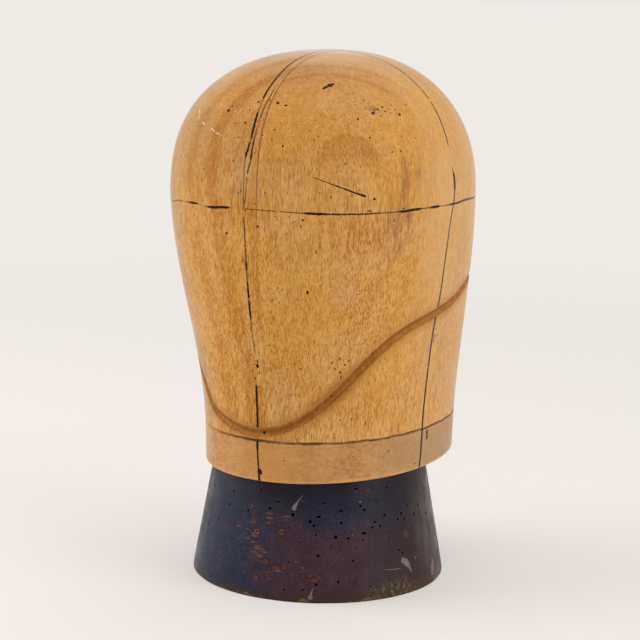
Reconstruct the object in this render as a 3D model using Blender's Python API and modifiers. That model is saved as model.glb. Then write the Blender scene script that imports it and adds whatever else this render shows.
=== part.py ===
"""A milliner's hat block on a turned wooden stand.

The block is carved from two boards glued side by side, with a rope groove round it at the line
where the crown of a hat ends. A plate of harder wood is screwed under it. A loose wooden spindle
stands in a socket in the stand and reaches up into the block, which turns on it and lifts off.

Metres, +Z up. The origin is on the table under the stand's axis. The back of the block, which is
tucked in above the nape, looks towards -Y, its face looks towards +Y, and its right side is at +X.
"""
import math

import bmesh
import bpy
from mathutils import Vector

# Stand: a turned cone with a socket for the spindle
STAND_HEIGHT = 0.0687
STAND_FOOT_RADIUS = 0.0750
STAND_TOP_RADIUS = 0.0627
STAND_FOOT_ROUNDING = 0.0008
STAND_TOP_ROUNDING = 0.0012
STAND_SOCKET_DEPTH = 0.0500
STAND_STEPS = 72

# Spindle: a round peg, loose in the stand and in the block
SPINDLE_RADIUS = 0.0125
SPINDLE_REACH = 0.0600
SPINDLE_CHAMFER = 0.0020
SPINDLE_STEPS = 32
SOCKET_HEADROOM = 0.0030

# Plate: an oval board, flush with the foot of the block, its centre in front of the spindle
PLATE_THICKNESS = 0.0234
PLATE_SHIFT = 0.0120
PLATE_BACK = 0.0886
PLATE_FRONT = 0.0880
PLATE_SIDE = 0.0678
PLATE_DRAFT = 0.0006
PLATE_EDGE = 0.0009

# Block: reach from an oval's centre to the back, the front and each side, and the top's shift
WIDEST_RISE = 0.1376
CROWN_RISE = 0.0777
WIDEST_BACK = 0.0930
WIDEST_FRONT = 0.0952
WIDEST_SIDE = 0.0817
CROWN_SHIFT = 0.0127

# How the sides leave the plate: the reach gained over the whole rise at the foot's slope
FOOT_LEAN_BACK = 0.0034
FOOT_LEAN_FRONT = 0.0003
FOOT_LEAN_SIDE = 0.0030

# Roundness of the ovals: 2 is an ellipse, and more is squarer
ROUNDNESS = {"foot_back": 2.04, "foot_front": 2.30, "cheek": 0.12, "widest": 2.41, "crown": 2.22}

# Roundness of the crown as seen from the side
CROWN_CURVE = {"back": 2.82, "front": 1.72, "side": 2.37}

# The two boards meet in an upright plane beside the middle
GLUE_OFFSET = 0.0075

# Rope groove: a round-bottomed channel, low over the nape and high over the brow. Its stations
# are degrees from the back towards the right, and the share of the way from foot to widest.
GROOVE_RADIUS = 0.0027
GROOVE_DEPTH = 0.0025
GROOVE_POINTS = 96
GROOVE_STATIONS = (
    (-145, 0.669),
    (-115, 0.607),
    (-95, 0.545),
    (-75, 0.465),
    (-57, 0.352),
    (-40, 0.207),
    (-30, 0.105),
    (-21, 0.0625),
    (-10, 0.0385),
    (0, 0.0320),
    (10, 0.0465),
    (20, 0.0875),
    (30, 0.155),
    (40, 0.242),
    (50, 0.336),
    (60, 0.412),
    (70, 0.461),
    (80, 0.489),
    (88, 0.507),
    (95, 0.532),
    (103, 0.567),
    (115, 0.603),
    (145, 0.669),
    (180, 0.698),
)

# Wood screws that hold the plate, one pair in each board
SCREW_LENGTH = 0.0420
SCREW_RADIUS = 0.0022
SCREW_HEAD_RADIUS = 0.0044
SCREW_HEAD_RIM = 0.0005
SCREW_HEAD_DEPTH = 0.0028
SCREW_HEAD_SINK = 0.0010
SCREW_TIP = 0.0060
SCREW_SLOT_WIDTH = 0.0011
SCREW_SLOT_DEPTH = 0.0012
SCREW_SIDE = 0.0380
SCREW_BACK = 0.0360
SCREW_FRONT = 0.0580
SCREW_TURN = math.radians(35)
SCREW_STEPS = 16

# Clearance between neighbours, and how far a cutter passes the faces that it cuts
GAP = 0.0003
PASS = 0.0050

# Facets, the angle from which an edge is sharp, and the reach within which points are joined
OVAL_POINTS = 72
FLARE_LEVELS = 13
CROWN_LEVELS = 13
CORNER_STEPS = 4
GROOVE_ROUND_STEPS = 2
SHARP_ANGLE = math.radians(35)
MERGE_REACH = 0.00001
TANGENT_STEP = 0.001

# Levels worked out from the sizes above
PLATE_BOTTOM = STAND_HEIGHT + GAP
PLATE_TOP = PLATE_BOTTOM + PLATE_THICKNESS
BLOCK_BOTTOM = PLATE_TOP + GAP
WIDEST_LEVEL = BLOCK_BOTTOM + WIDEST_RISE
BLOCK_TOP = WIDEST_LEVEL + CROWN_RISE
SOCKET_FLOOR = STAND_HEIGHT - STAND_SOCKET_DEPTH
SPINDLE_BOTTOM = SOCKET_FLOOR + GAP
SPINDLE_TOP = STAND_HEIGHT + SPINDLE_REACH
BORE_RADIUS = SPINDLE_RADIUS + GAP
BORE_TOP = SPINDLE_TOP + SOCKET_HEADROOM


def clear_scene():
    for item in list(bpy.data.objects):
        bpy.data.objects.remove(item, do_unlink=True)


def make_collection(name):
    collection = bpy.data.collections.new(name)
    bpy.context.scene.collection.children.link(collection)
    return collection


def make_material(name, colour, roughness, metallic=0.0):
    material = bpy.data.materials.new(name)
    material.use_nodes = True
    shader = material.node_tree.nodes["Principled BSDF"]
    shader.inputs["Base Color"].default_value = (*colour, 1.0)
    shader.inputs["Roughness"].default_value = roughness
    shader.inputs["Metallic"].default_value = metallic
    material.diffuse_color = (*colour, 1.0)
    return material


def place(name, mesh, collection, material=None):
    item = bpy.data.objects.new(name, mesh)
    collection.objects.link(item)
    if material:
        mesh.materials.append(material)
    return item


def mesh_from(bm, name):
    bmesh.ops.recalc_face_normals(bm, faces=bm.faces)
    mesh = bpy.data.meshes.new(name)
    bm.to_mesh(mesh)
    bm.free()
    mesh.shade_smooth()
    mesh.set_sharp_from_angle(angle=SHARP_ANGLE)
    return mesh


def turned(name, profile, steps, collection, material=None):
    """A profile of (radius, height) points, from the axis at the top to the axis at the bottom."""
    mesh = bpy.data.meshes.new(name)
    points = [(radius, 0.0, height) for radius, height in profile]
    mesh.from_pydata(points, [(i, i + 1) for i in range(len(points) - 1)], [])
    item = place(name, mesh, collection, material)
    screw = item.modifiers.new("Turn", "SCREW")
    screw.axis = "Z"
    screw.steps = steps
    screw.render_steps = steps
    screw.use_merge_vertices = True
    screw.merge_threshold = MERGE_REACH
    screw.use_smooth_shade = True
    return item


def cutter(item):
    item.hide_render = True
    item.display_type = "WIRE"
    return item


def cut(item, tool, operation="DIFFERENCE"):
    boolean = item.modifiers.new(tool.name, "BOOLEAN")
    boolean.operation = operation
    boolean.solver = "EXACT"
    boolean.object = tool


def box_cutter(name, size, tools):
    bm = bmesh.new()
    bmesh.ops.create_cube(bm, size=1.0)
    bmesh.ops.scale(bm, vec=size, verts=bm.verts)
    return cutter(place(name, mesh_from(bm, name), tools))


def rounding(radius, centre_radius, centre_height, start, end):
    """Points of a rounded corner on a turned profile, by angles from +X towards +Z."""
    for step in range(CORNER_STEPS + 1):
        angle = math.radians(start + (end - start) * step / CORNER_STEPS)
        yield centre_radius + radius * math.cos(angle), centre_height + radius * math.sin(angle)


def signed_power(value, power):
    return math.copysign(abs(value) ** power, value)


def oval(back, front, side, roundness_back, roundness_front, shift, angle):
    """A point of an egg-shaped oval. Angle 0 is the back, and a quarter turn is +X."""
    towards_back = math.cos(angle)
    towards_side = math.sin(angle)
    reach = back if towards_back > 0 else front
    roundness = roundness_back if towards_back > 0 else roundness_front
    y = shift - reach * signed_power(towards_back, 2 / roundness)
    x = side * signed_power(towards_side, 2 / roundness)
    return x, y


def flare(share, foot, widest, lean):
    """A reach between the foot and the widest level, upright where it arrives there."""
    rest = 1 - share
    return (
        foot * (1 + 2 * share) * rest ** 2
        + lean * share * rest ** 2
        + widest * (3 - 2 * share) * share ** 2
    )


def dome(share, curve):
    return max(0.0, 1 - share ** curve) ** (1 / curve)


def block_point(height, angle):
    """A point of the block's surface at a height, before the groove is cut."""
    if height <= WIDEST_LEVEL:
        share = (height - BLOCK_BOTTOM) / WIDEST_RISE
        back = flare(share, PLATE_BACK, WIDEST_BACK, FOOT_LEAN_BACK)
        front = flare(share, PLATE_FRONT, WIDEST_FRONT, FOOT_LEAN_FRONT)
        side = flare(share, PLATE_SIDE, WIDEST_SIDE, FOOT_LEAN_SIDE)
        round_back = ROUNDNESS["foot_back"] + (ROUNDNESS["widest"] - ROUNDNESS["foot_back"]) * share
        round_front = ROUNDNESS["foot_front"] + (ROUNDNESS["widest"] - ROUNDNESS["foot_front"]) * share
        round_front += ROUNDNESS["cheek"] * 4 * share * (1 - share)
        shift = flare(share, PLATE_SHIFT, 0.0, 0.0)
    else:
        share = min(1.0, (height - WIDEST_LEVEL) / CROWN_RISE)
        back = WIDEST_BACK * dome(share, CROWN_CURVE["back"])
        front = WIDEST_FRONT * dome(share, CROWN_CURVE["front"])
        side = WIDEST_SIDE * dome(share, CROWN_CURVE["side"])
        round_back = ROUNDNESS["widest"] + (ROUNDNESS["crown"] - ROUNDNESS["widest"]) * share
        round_front = round_back
        shift = CROWN_SHIFT * (1 - math.sqrt(1 - share ** 2))
    x, y = oval(back, front, side, round_back, round_front, shift, angle)
    return Vector((x, y, height))


def plate_point(height, angle, inset=0.0):
    draft = PLATE_DRAFT * (PLATE_TOP - height) / PLATE_THICKNESS + inset
    x, y = oval(
        PLATE_BACK - draft,
        PLATE_FRONT - draft,
        PLATE_SIDE - draft,
        ROUNDNESS["foot_back"],
        ROUNDNESS["foot_front"],
        PLATE_SHIFT,
        angle,
    )
    return Vector((x, y, height))


def groove_height(angle):
    """The groove's height by angle: a smooth closed curve through the stations."""
    turn = math.degrees(angle)
    last = GROOVE_STATIONS[-1][0]
    if turn > last:
        turn -= 360
    before = [(degrees - 360, up) for degrees, up in GROOVE_STATIONS[-2:]]
    after = [(degrees + 360, up) for degrees, up in GROOVE_STATIONS[:1]]
    stations = before + list(GROOVE_STATIONS) + after
    spot = 1
    while turn > stations[spot + 1][0]:
        spot += 1
    (left, _), (start, low), (end, high), (right, _) = stations[spot - 1:spot + 3]
    share = (turn - start) / (end - start)
    slope_in = (high - stations[spot - 1][1]) / (end - left) * (end - start)
    slope_out = (stations[spot + 2][1] - low) / (right - start) * (end - start)
    share_up = flare(share, low, high, slope_in) + slope_out * share ** 2 * (share - 1)
    return BLOCK_BOTTOM + share_up * WIDEST_RISE


def groove_point(angle):
    """A point on the groove cutter's centre line, a little outside the block's surface."""
    height = groove_height(angle)
    point = block_point(height, angle)
    step = TANGENT_STEP
    along = block_point(height, angle + step) - block_point(height, angle - step)
    up = block_point(height + step, angle) - block_point(height - step, angle)
    outward = along.cross(up).normalized()
    return point + outward * (GROOVE_RADIUS - GROOVE_DEPTH)


def loft(rings, name, top=None):
    """Skins rings of points from the lowest up, closed flat below and flat or to a point above."""
    bm = bmesh.new()
    rows = []
    for ring in rings:
        rows.append([bm.verts.new(point) for point in ring])
    for lower, upper in zip(rows, rows[1:]):
        for i in range(len(lower)):
            j = (i + 1) % len(lower)
            bm.faces.new((lower[i], lower[j], upper[j], upper[i]))
    bm.faces.new(list(reversed(rows[0])))
    if top is None:
        bm.faces.new(rows[-1])
    else:
        tip = bm.verts.new(top)
        last = rows[-1]
        for i in range(len(last)):
            bm.faces.new((last[i], last[(i + 1) % len(last)], tip))
    return mesh_from(bm, name)


def around(count):
    return [2 * math.pi * i / count for i in range(count)]


def make_stand(parts, material):
    socket_radius = SPINDLE_RADIUS + GAP
    lean = math.degrees(math.atan2(STAND_FOOT_RADIUS - STAND_TOP_RADIUS, STAND_HEIGHT))
    profile = [
        (0.0, SOCKET_FLOOR),
        (socket_radius, SOCKET_FLOOR),
        (socket_radius, STAND_HEIGHT),
    ]
    top_centre = STAND_TOP_RADIUS - STAND_TOP_ROUNDING
    profile += rounding(STAND_TOP_ROUNDING, top_centre, STAND_HEIGHT - STAND_TOP_ROUNDING, 90, lean)
    foot_centre = STAND_FOOT_RADIUS - STAND_FOOT_ROUNDING
    profile += rounding(STAND_FOOT_ROUNDING, foot_centre, STAND_FOOT_ROUNDING, lean, -90)
    profile.append((0.0, 0.0))
    return turned("stand", profile, STAND_STEPS, parts, material)


def make_spindle(parts, material):
    inner = SPINDLE_RADIUS - SPINDLE_CHAMFER
    profile = [
        (0.0, SPINDLE_TOP),
        (inner, SPINDLE_TOP),
        (SPINDLE_RADIUS, SPINDLE_TOP - SPINDLE_CHAMFER),
        (SPINDLE_RADIUS, SPINDLE_BOTTOM + SPINDLE_CHAMFER),
        (inner, SPINDLE_BOTTOM),
        (0.0, SPINDLE_BOTTOM),
    ]
    return turned("spindle", profile, SPINDLE_STEPS, parts, material)


def make_bore(tools):
    """The spindle's way through the plate and up into the block."""
    bottom = PLATE_BOTTOM - PASS
    profile = [(0.0, BORE_TOP), (BORE_RADIUS, BORE_TOP), (BORE_RADIUS, bottom), (0.0, bottom)]
    return cutter(turned("bore_cutter", profile, SPINDLE_STEPS, tools))


def screw_places():
    for x in (-SCREW_SIDE, SCREW_SIDE):
        for y in (-SCREW_BACK, SCREW_FRONT):
            yield Vector((x, y, PLATE_BOTTOM + SCREW_HEAD_SINK))


def screw_profile():
    """Half the outline of a countersunk screw, point up and head down, from its head's face."""
    neck = SCREW_HEAD_DEPTH
    return [
        (0.0, SCREW_LENGTH),
        (SCREW_RADIUS, SCREW_LENGTH - SCREW_TIP),
        (SCREW_RADIUS, neck),
        (SCREW_HEAD_RADIUS, SCREW_HEAD_RIM),
        (SCREW_HEAD_RADIUS, 0.0),
        (0.0, 0.0),
    ]


def hole_profile():
    """The screw's outline with clearance all round, open below the plate."""
    shank = SCREW_RADIUS + GAP
    head = SCREW_HEAD_RADIUS + GAP
    mouth = -SCREW_HEAD_SINK - PASS
    return [
        (0.0, SCREW_LENGTH + 2 * GAP),
        (shank, SCREW_LENGTH - SCREW_TIP),
        (shank, SCREW_HEAD_DEPTH + GAP),
        (head, SCREW_HEAD_RIM + GAP),
        (head, mouth),
        (0.0, mouth),
    ]


def make_screws(parts, tools, material):
    """One slotted screw, placed four times, and the cutters of the holes."""
    pattern = turned("screw_pattern", screw_profile(), SCREW_STEPS, tools)
    slot = (2 * (SCREW_HEAD_RADIUS + PASS), SCREW_SLOT_WIDTH, 2 * SCREW_SLOT_DEPTH)
    cut(pattern, box_cutter("slot_cutter", slot, tools))
    bpy.context.view_layer.update()
    depsgraph = bpy.context.evaluated_depsgraph_get()
    mesh = bpy.data.meshes.new_from_object(pattern.evaluated_get(depsgraph))
    mesh.materials.clear()
    mesh.materials.append(material)
    bpy.data.objects.remove(pattern, do_unlink=True)
    screws = []
    holes = []
    for number, spot in enumerate(screw_places(), start=1):
        screw = place(f"plate_screw_{number}", mesh, parts)
        screw.location = spot
        screw.rotation_euler.z = SCREW_TURN * number
        screws.append(screw)
        hole = cutter(turned(f"screw_hole_cutter_{number}", hole_profile(), SCREW_STEPS, tools))
        hole.location = spot
        holes.append(hole)
    return screws, holes


def make_plate(parts, material, bore, holes):
    angles = around(OVAL_POINTS)
    rings = [
        [plate_point(PLATE_BOTTOM, angle, PLATE_EDGE) for angle in angles],
        [plate_point(PLATE_BOTTOM + PLATE_EDGE, angle) for angle in angles],
        [plate_point(PLATE_TOP, angle) for angle in angles],
    ]
    plate = place("base_plate", loft(rings, "base_plate"), parts, material)
    cut(plate, bore)
    for hole in holes:
        cut(plate, hole)
    return plate


def make_groove_cutter(tools):
    curve = bpy.data.curves.new("groove_cutter", "CURVE")
    curve.dimensions = "3D"
    curve.bevel_depth = GROOVE_RADIUS
    curve.bevel_resolution = GROOVE_ROUND_STEPS
    spline = curve.splines.new("POLY")
    spline.points.add(GROOVE_POINTS - 1)
    for point, angle in zip(spline.points, around(GROOVE_POINTS)):
        point.co = (*groove_point(angle), 1.0)
    spline.use_cyclic_u = True
    tube = bpy.data.objects.new("groove_cutter", curve)
    tools.objects.link(tube)
    bpy.context.view_layer.update()
    mesh = bpy.data.meshes.new_from_object(tube.evaluated_get(bpy.context.evaluated_depsgraph_get()))
    bpy.data.objects.remove(tube, do_unlink=True)
    bm = bmesh.new()
    bm.from_mesh(mesh)
    bmesh.ops.remove_doubles(bm, verts=bm.verts, dist=MERGE_REACH)
    return cutter(place("groove_cutter", mesh_from(bm, "groove_cutter"), tools))


def block_levels():
    """Ring heights, closer together where the crown curves in."""
    levels = [BLOCK_BOTTOM + WIDEST_RISE * i / FLARE_LEVELS for i in range(FLARE_LEVELS)]
    for i in range(CROWN_LEVELS):
        levels.append(WIDEST_LEVEL + CROWN_RISE * math.sin(math.pi / 2 * i / CROWN_LEVELS))
    return levels


def make_board_cutter(name, towards, tools):
    """A box that holds all that lies on one side of the glue line."""
    width = 2 * (WIDEST_SIDE + PLATE_SIDE)
    length = 2 * (WIDEST_BACK + WIDEST_FRONT + PLATE_FRONT)
    box = box_cutter(name, (width, length, 2 * BLOCK_TOP), tools)
    box.location = (GLUE_OFFSET + towards * (width + GAP) / 2, 0.0, BLOCK_TOP)
    return box


def make_boards(parts, tools, material, bore, holes):
    angles = around(OVAL_POINTS)
    rings = [[block_point(level, angle) for angle in angles] for level in block_levels()]
    tip = block_point(BLOCK_TOP, 0.0)
    mesh = loft(rings, "block", tip)
    mesh.materials.append(material)
    groove = make_groove_cutter(tools)
    boards = []
    for name, towards in (("block_wide_board", -1), ("block_narrow_board", 1)):
        board = place(name, mesh, parts)
        cut(board, make_board_cutter(f"{name}_cutter", towards, tools), "INTERSECT")
        cut(board, groove)
        cut(board, bore)
        for hole in holes:
            if hole.location.x * towards > 0:
                cut(board, hole)
        boards.append(board)
    return boards


def main():
    clear_scene()
    parts = make_collection("hat_block")
    tools = make_collection("cutters")

    limewood = make_material("limewood", (0.56, 0.34, 0.13), 0.45)
    maple = make_material("maple", (0.52, 0.34, 0.16), 0.5)
    stand_paint = make_material("stand_paint", (0.03, 0.035, 0.07), 0.5)
    dowel_wood = make_material("dowel_wood", (0.55, 0.40, 0.24), 0.6)
    steel = make_material("steel", (0.45, 0.44, 0.42), 0.4, 1.0)

    make_stand(parts, stand_paint)
    spindle = make_spindle(parts, dowel_wood)
    bore = make_bore(tools)
    screws, holes = make_screws(parts, tools, steel)
    plate = make_plate(parts, maple, bore, holes)
    boards = make_boards(parts, tools, limewood, bore, holes)

    # All that lifts off hangs from one empty on the spindle's axis
    lift = bpy.data.objects.new("block_on_spindle", None)
    lift.location = (0.0, 0.0, STAND_HEIGHT)
    parts.objects.link(lift)
    lift.parent = spindle
    bpy.context.view_layer.update()
    for item in [plate, *boards, *screws]:
        item.parent = lift
        item.matrix_parent_inverse = lift.matrix_world.inverted()


main()
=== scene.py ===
"""The looks of the hat block: figured wood, ink lines, wear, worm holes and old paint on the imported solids.

Metres, in the part's own frame. +Z is up, the back of the block looks towards -Y, and its right
side is at +X. Places on the surfaces are given by degrees from the back towards the right side and
by millimetres above the table.
"""

import math
import random

import bmesh
import bpy
from mathutils import Matrix, Vector, noise

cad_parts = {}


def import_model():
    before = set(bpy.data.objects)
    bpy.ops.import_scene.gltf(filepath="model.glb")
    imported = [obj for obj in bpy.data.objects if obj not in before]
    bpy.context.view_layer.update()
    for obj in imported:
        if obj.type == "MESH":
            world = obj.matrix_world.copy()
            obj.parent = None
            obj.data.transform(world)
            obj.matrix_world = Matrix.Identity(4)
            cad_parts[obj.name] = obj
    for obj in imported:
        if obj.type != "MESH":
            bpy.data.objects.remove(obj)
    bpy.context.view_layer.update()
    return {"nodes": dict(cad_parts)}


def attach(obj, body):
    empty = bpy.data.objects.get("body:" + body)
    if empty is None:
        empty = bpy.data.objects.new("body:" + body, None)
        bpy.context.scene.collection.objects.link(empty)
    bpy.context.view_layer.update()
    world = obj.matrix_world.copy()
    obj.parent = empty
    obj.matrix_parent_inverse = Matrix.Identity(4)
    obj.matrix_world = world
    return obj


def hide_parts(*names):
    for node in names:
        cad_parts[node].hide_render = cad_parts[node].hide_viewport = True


# Levels and outlines of the solids
STAND_HEIGHT = 0.0687
STAND_FOOT_RADIUS = 0.0750
STAND_TOP_RADIUS = 0.0627
SOCKET_RADIUS = 0.0128
SOCKET_FLOOR = 0.0187
PLATE_BOTTOM = 0.0690
PLATE_TOP = 0.0924
PLATE_SHIFT = 0.0120
PLATE_BACK = 0.0886
PLATE_FRONT = 0.0880
PLATE_SIDE = 0.0678
PLATE_DRAFT = 0.0006
BLOCK_BOTTOM = 0.0927
WIDEST_RISE = 0.1376
CROWN_RISE = 0.0777
WIDEST_BACK = 0.0930
WIDEST_FRONT = 0.0952
WIDEST_SIDE = 0.0817
CROWN_SHIFT = 0.0127
FOOT_LEAN_BACK = 0.0034
FOOT_LEAN_FRONT = 0.0003
FOOT_LEAN_SIDE = 0.0030
ROUNDNESS = {"foot_back": 2.04, "foot_front": 2.30, "cheek": 0.12, "widest": 2.41, "crown": 2.22}
CROWN_CURVE = {"back": 2.82, "front": 1.72, "side": 2.37}
GLUE_OFFSET = 0.0075
BORE_RADIUS = 0.0128
BORE_TOP = 0.1317
WIDEST_LEVEL = BLOCK_BOTTOM + WIDEST_RISE
BLOCK_TOP = WIDEST_LEVEL + CROWN_RISE

# The groove: degrees, and the share of the way from the foot to the widest level
GROOVE_STATIONS = (
    (-145, 0.669), (-115, 0.607), (-95, 0.545), (-75, 0.465), (-57, 0.352), (-40, 0.207), (-30, 0.105),
    (-21, 0.0625), (-10, 0.0385), (0, 0.032), (10, 0.0465), (20, 0.0875), (30, 0.155), (40, 0.242),
    (50, 0.336), (60, 0.412), (70, 0.461), (80, 0.489), (88, 0.507), (95, 0.532), (103, 0.567),
    (115, 0.603), (145, 0.669), (180, 0.698),
)
# Half of its section, from the middle: millimetres off the middle, and deep
GROOVE_SECTION = (
    (0, 2.5), (0.9, 2.34), (1.7, 1.9), (2.3, 1.21), (2.6, 0.53), (2.78, 0.2), (3, 0.05), (3.5, 0),
)

# Screws under the plate
SCREW_PLACES = [(x, y) for x in (-0.038, 0.038) for y in (-0.036, 0.058)]
SCREW_HOLE_RADIUS = 0.0025
SCREW_HEAD_HOLE_RADIUS = 0.0047
SCREW_HOLE_TOP = 0.1126
SCREW_HEAD_HOLE_TOP = 0.0733

# The inked middle line over the block from back to front: millimetres up, millimetres to the right
BACK_LINE = (
    (69, 2), (80, 1.3), (91, 0.8), (103, 1), (123, 1.1), (136, 1.9), (153, 1), (180, 0.3), (205, 0),
    (224, -0.4), (245, -0.6), (256, 0.4), (272, 1.8), (285, 1.8), (295, 2.4), (308, 2),
)
# How heavy its ink is at the back: millimetres up, and from 0 to 1
BACK_INK = (
    (69, 0.5), (72, 0.9), (76, 0.85), (78, 0.5), (86.5, 0.5), (88, 0.95), (92, 0.9), (93, 0), (97.8, 0),
    (98.6, 0.85), (124, 0.75), (125.5, 0), (143, 0), (144, 0.15), (162, 0.15), (163.5, 0.6), (172, 0.65),
    (174, 0.3), (176, 0.7), (183, 0.65), (184.5, 0.2), (190.3, 0.2), (191.2, 0.8), (194.4, 0.8),
    (195.6, 0.2), (199.6, 0.3), (225, 0.28), (227, 0.14), (252, 0.12), (253.4, 0.8), (259, 0.8),
    (260.2, 0.12), (262.4, 0.12), (263.8, 0.8), (275.4, 0.75), (276.6, 0.08), (283, 0.08), (284.2, 0.75),
    (298, 0.6), (308, 0.5),
)
# A second, thinner line beside it on the crown, in the same way
SECOND_LINE = (
    (226, 0.2), (232.6, 0.7), (245.5, 1.8), (251.6, 3), (259.6, 3.3), (268.2, 4.1), (278, 4.5),
    (287.8, 5.5), (308, 6.4),
)
SECOND_INK = (
    (226, 0), (230, 0.12), (243, 0.16), (244.5, 0.35), (249, 0.35), (250.4, 0.15), (251.8, 0.5),
    (261, 0.45), (263, 0.25), (283, 0.25), (289, 0.15), (293, 0), (308, 0),
)
# The inked line over the sides: millimetres up, millimetres to the front
SIDE_LINE = (
    (69, -1.8), (91, -0.8), (106, -0.8), (131, -1.6), (152, -2.8), (166, -1.9), (193, -2.4), (224, 1.3),
    (232, 2.2), (240, 1.2), (256, -2), (280, -2.3), (292, -2.4), (300, -1.1), (308, 0),
)
SIDE_INK = (
    (69, 0.4), (92, 0.45), (165, 0.42), (200, 0.34), (224, 0.3), (230, 0.35), (232, 0.3), (233.2, 0.9),
    (240.6, 0.85), (242, 0.2), (249, 0), (256, 0), (259, 0.26), (308, 0.32),
)
# The head-size line round the widest part: degrees, millimetres up
SIZE_LINE = (
    (-180, 224.3), (-49, 222.6), (-35, 224.4), (-21, 224.7), (-13, 223.6), (-5, 224.4), (8, 224.3),
    (22, 223.9), (37, 223.7), (53, 224), (63, 224.1), (73, 224.6), (91, 224.3), (98, 224.9), (114, 224.3),
    (180, 224.3),
)
SIZE_INK = (
    (-180, 0.4), (-150, 0.2), (-120, 0.5), (-95, 0.15), (-60, 0.3), (-52, 0.3), (-50.6, 0.8), (-49.4, 0.2),
    (-25, 0.22), (-23, 0.75), (-20.4, 0.75), (-18.8, 0.2), (-16, 0.02), (-14.6, 0.02), (-13.2, 0.9),
    (-6.4, 0.95), (-4.6, 0.2), (-3.2, 0.02), (1.2, 0.05), (4, 0.14), (20.5, 0.16), (22, 0.85), (28, 0.8),
    (30.5, 0.38), (46, 0.36), (52, 0.3), (54, 0.18), (60.4, 0.18), (62, 0.9), (71, 0.85), (73.5, 0.25),
    (77.5, 0.25), (79, 1), (82, 0.95), (83.5, 0.15), (88.5, 0.3), (90, 0.65), (112, 0.6), (118, 0.1),
    (150, 0.5), (180, 0.4),
)

# Which of a piece's materials a cut mark shows. The piece's own comes before them.
INK, PALE, BARE, DARK = range(1, 5)

# Marks cut into the boards and the plate: degrees, millimetres up, width and height in millimetres
WORM_PITS = (
    (1.6, 135.8, 2.2, 2.5), (1.7, 138.8, 1.1, 1.4), (0.1, 136.6, 0.9, 0.9), (2.4, 132.3, 0.8, 1.6),
    (0.5, 128.4, 1, 1.4), (-0.5, 142, 0.8, 1), (37.3, 142.1, 1.1, 1), (39.6, 138.3, 1, 1),
    (37.6, 134, 1, 1), (35.3, 136.3, 0.9, 0.9), (86.3, 148.2, 0.9, 1.4), (85.8, 144.6, 0.9, 0.9),
    (18, 139, 0.8, 0.9), (20.2, 136.2, 0.8, 0.9), (22.8, 180.2, 1.4, 2.6), (12.2, 259.2, 0.9, 1.9),
    (-3.2, 262.5, 1, 0.9), (-3.7, 249.8, 0.9, 0.8), (-2.1, 270.3, 1.1, 1.5), (36.8, 250.7, 1, 1),
    (15.1, 242.8, 0.8, 0.8), (48.2, 264.3, 1.3, 1.2), (38, 131, 0.8, 1.1), (33.9, 139.8, 0.8, 0.9),
    (1.9, 123.9, 0.8, 1.2), (-0.9, 132.6, 0.7, 1), (-16.5, 249, 0.6, 0.6), (7, 148.5, 0.7, 1.1),
    (-5.5, 269.8, 0.9, 0.9), (-1.1, 260, 0.8, 0.7), (8.5, 267.5, 0.9, 1.1), (-1.5, 232.9, 0.9, 1.1),
    (6.1, 233.8, 0.8, 1.4), (3.7, 215.2, 1.1, 1.7), (4.2, 264.4, 0.8, 0.9), (57.9, 256.4, 1, 1.1),
    (62, 256.7, 1.2, 1.4), (63.2, 264, 0.8, 0.8), (70.3, 263.1, 0.9, 1), (41.2, 140.6, 0.8, 0.9),
)
INK_DOTS = (
    (30.6, 288.3, 0.8, 0.6), (36.4, 291.9, 0.9, 0.6), (25.6, 288.7, 0.8, 0.5), (-11.6, 276, 2.6, 2.2),
    (-10.7, 278.3, 1.8, 1), (20.3, 220.1, 1.3, 1.2), (-5.9, 210.1, 1.7, 1.6), (58.6, 219.3, 1.2, 1.1),
    (49.2, 231.7, 1.8, 1.5), (7.6, 281.4, 2.2, 2), (11.4, 280.2, 2.2, 1.6), (-0.1, 281.4, 1.7, 1.6),
    (-1.9, 277, 1, 1.1), (3.8, 282.6, 0.9, 0.9), (47, 225.3, 2.4, 0.9), (40.4, 286.6, 0.8, 0.8),
    (38.2, 288.2, 0.8, 0.8), (43.4, 287.1, 0.9, 0.8), (43.8, 273.9, 1.2, 1.9), (51.4, 276.8, 1.9, 1.8),
    (54.2, 278.6, 1.6, 1.2), (56.8, 279.7, 1.6, 1.2), (57.6, 277.6, 1.6, 1), (60.4, 276.6, 1, 0.8),
    (60.1, 278.6, 0.9, 0.8), (63.3, 278.2, 1.3, 1), (64.9, 275.7, 1.9, 1.9), (62.2, 280.4, 0.9, 0.7),
    (70.7, 280.7, 1.2, 1), (47.8, 278.9, 0.9, 0.7), (62.9, 225.7, 1.8, 0.9),
)
NAIL_HOLES = ((3.1, 96.9, 1.9, 1.9), (53, 142.9, 1.2, 1.2), (34.7, 119.5, 1.2, 1.2), (32, 116.6, 0.9, 0.9))
PLATE_DOTS = (
    (13.7, 82.4, 0.8, 0.8), (28.2, 81.9, 0.6, 0.6), (45.2, 83.9, 0.7, 0.7), (62.2, 84.4, 1.2, 1),
    (78.2, 73.2, 1.2, 1.1),
)
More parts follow.
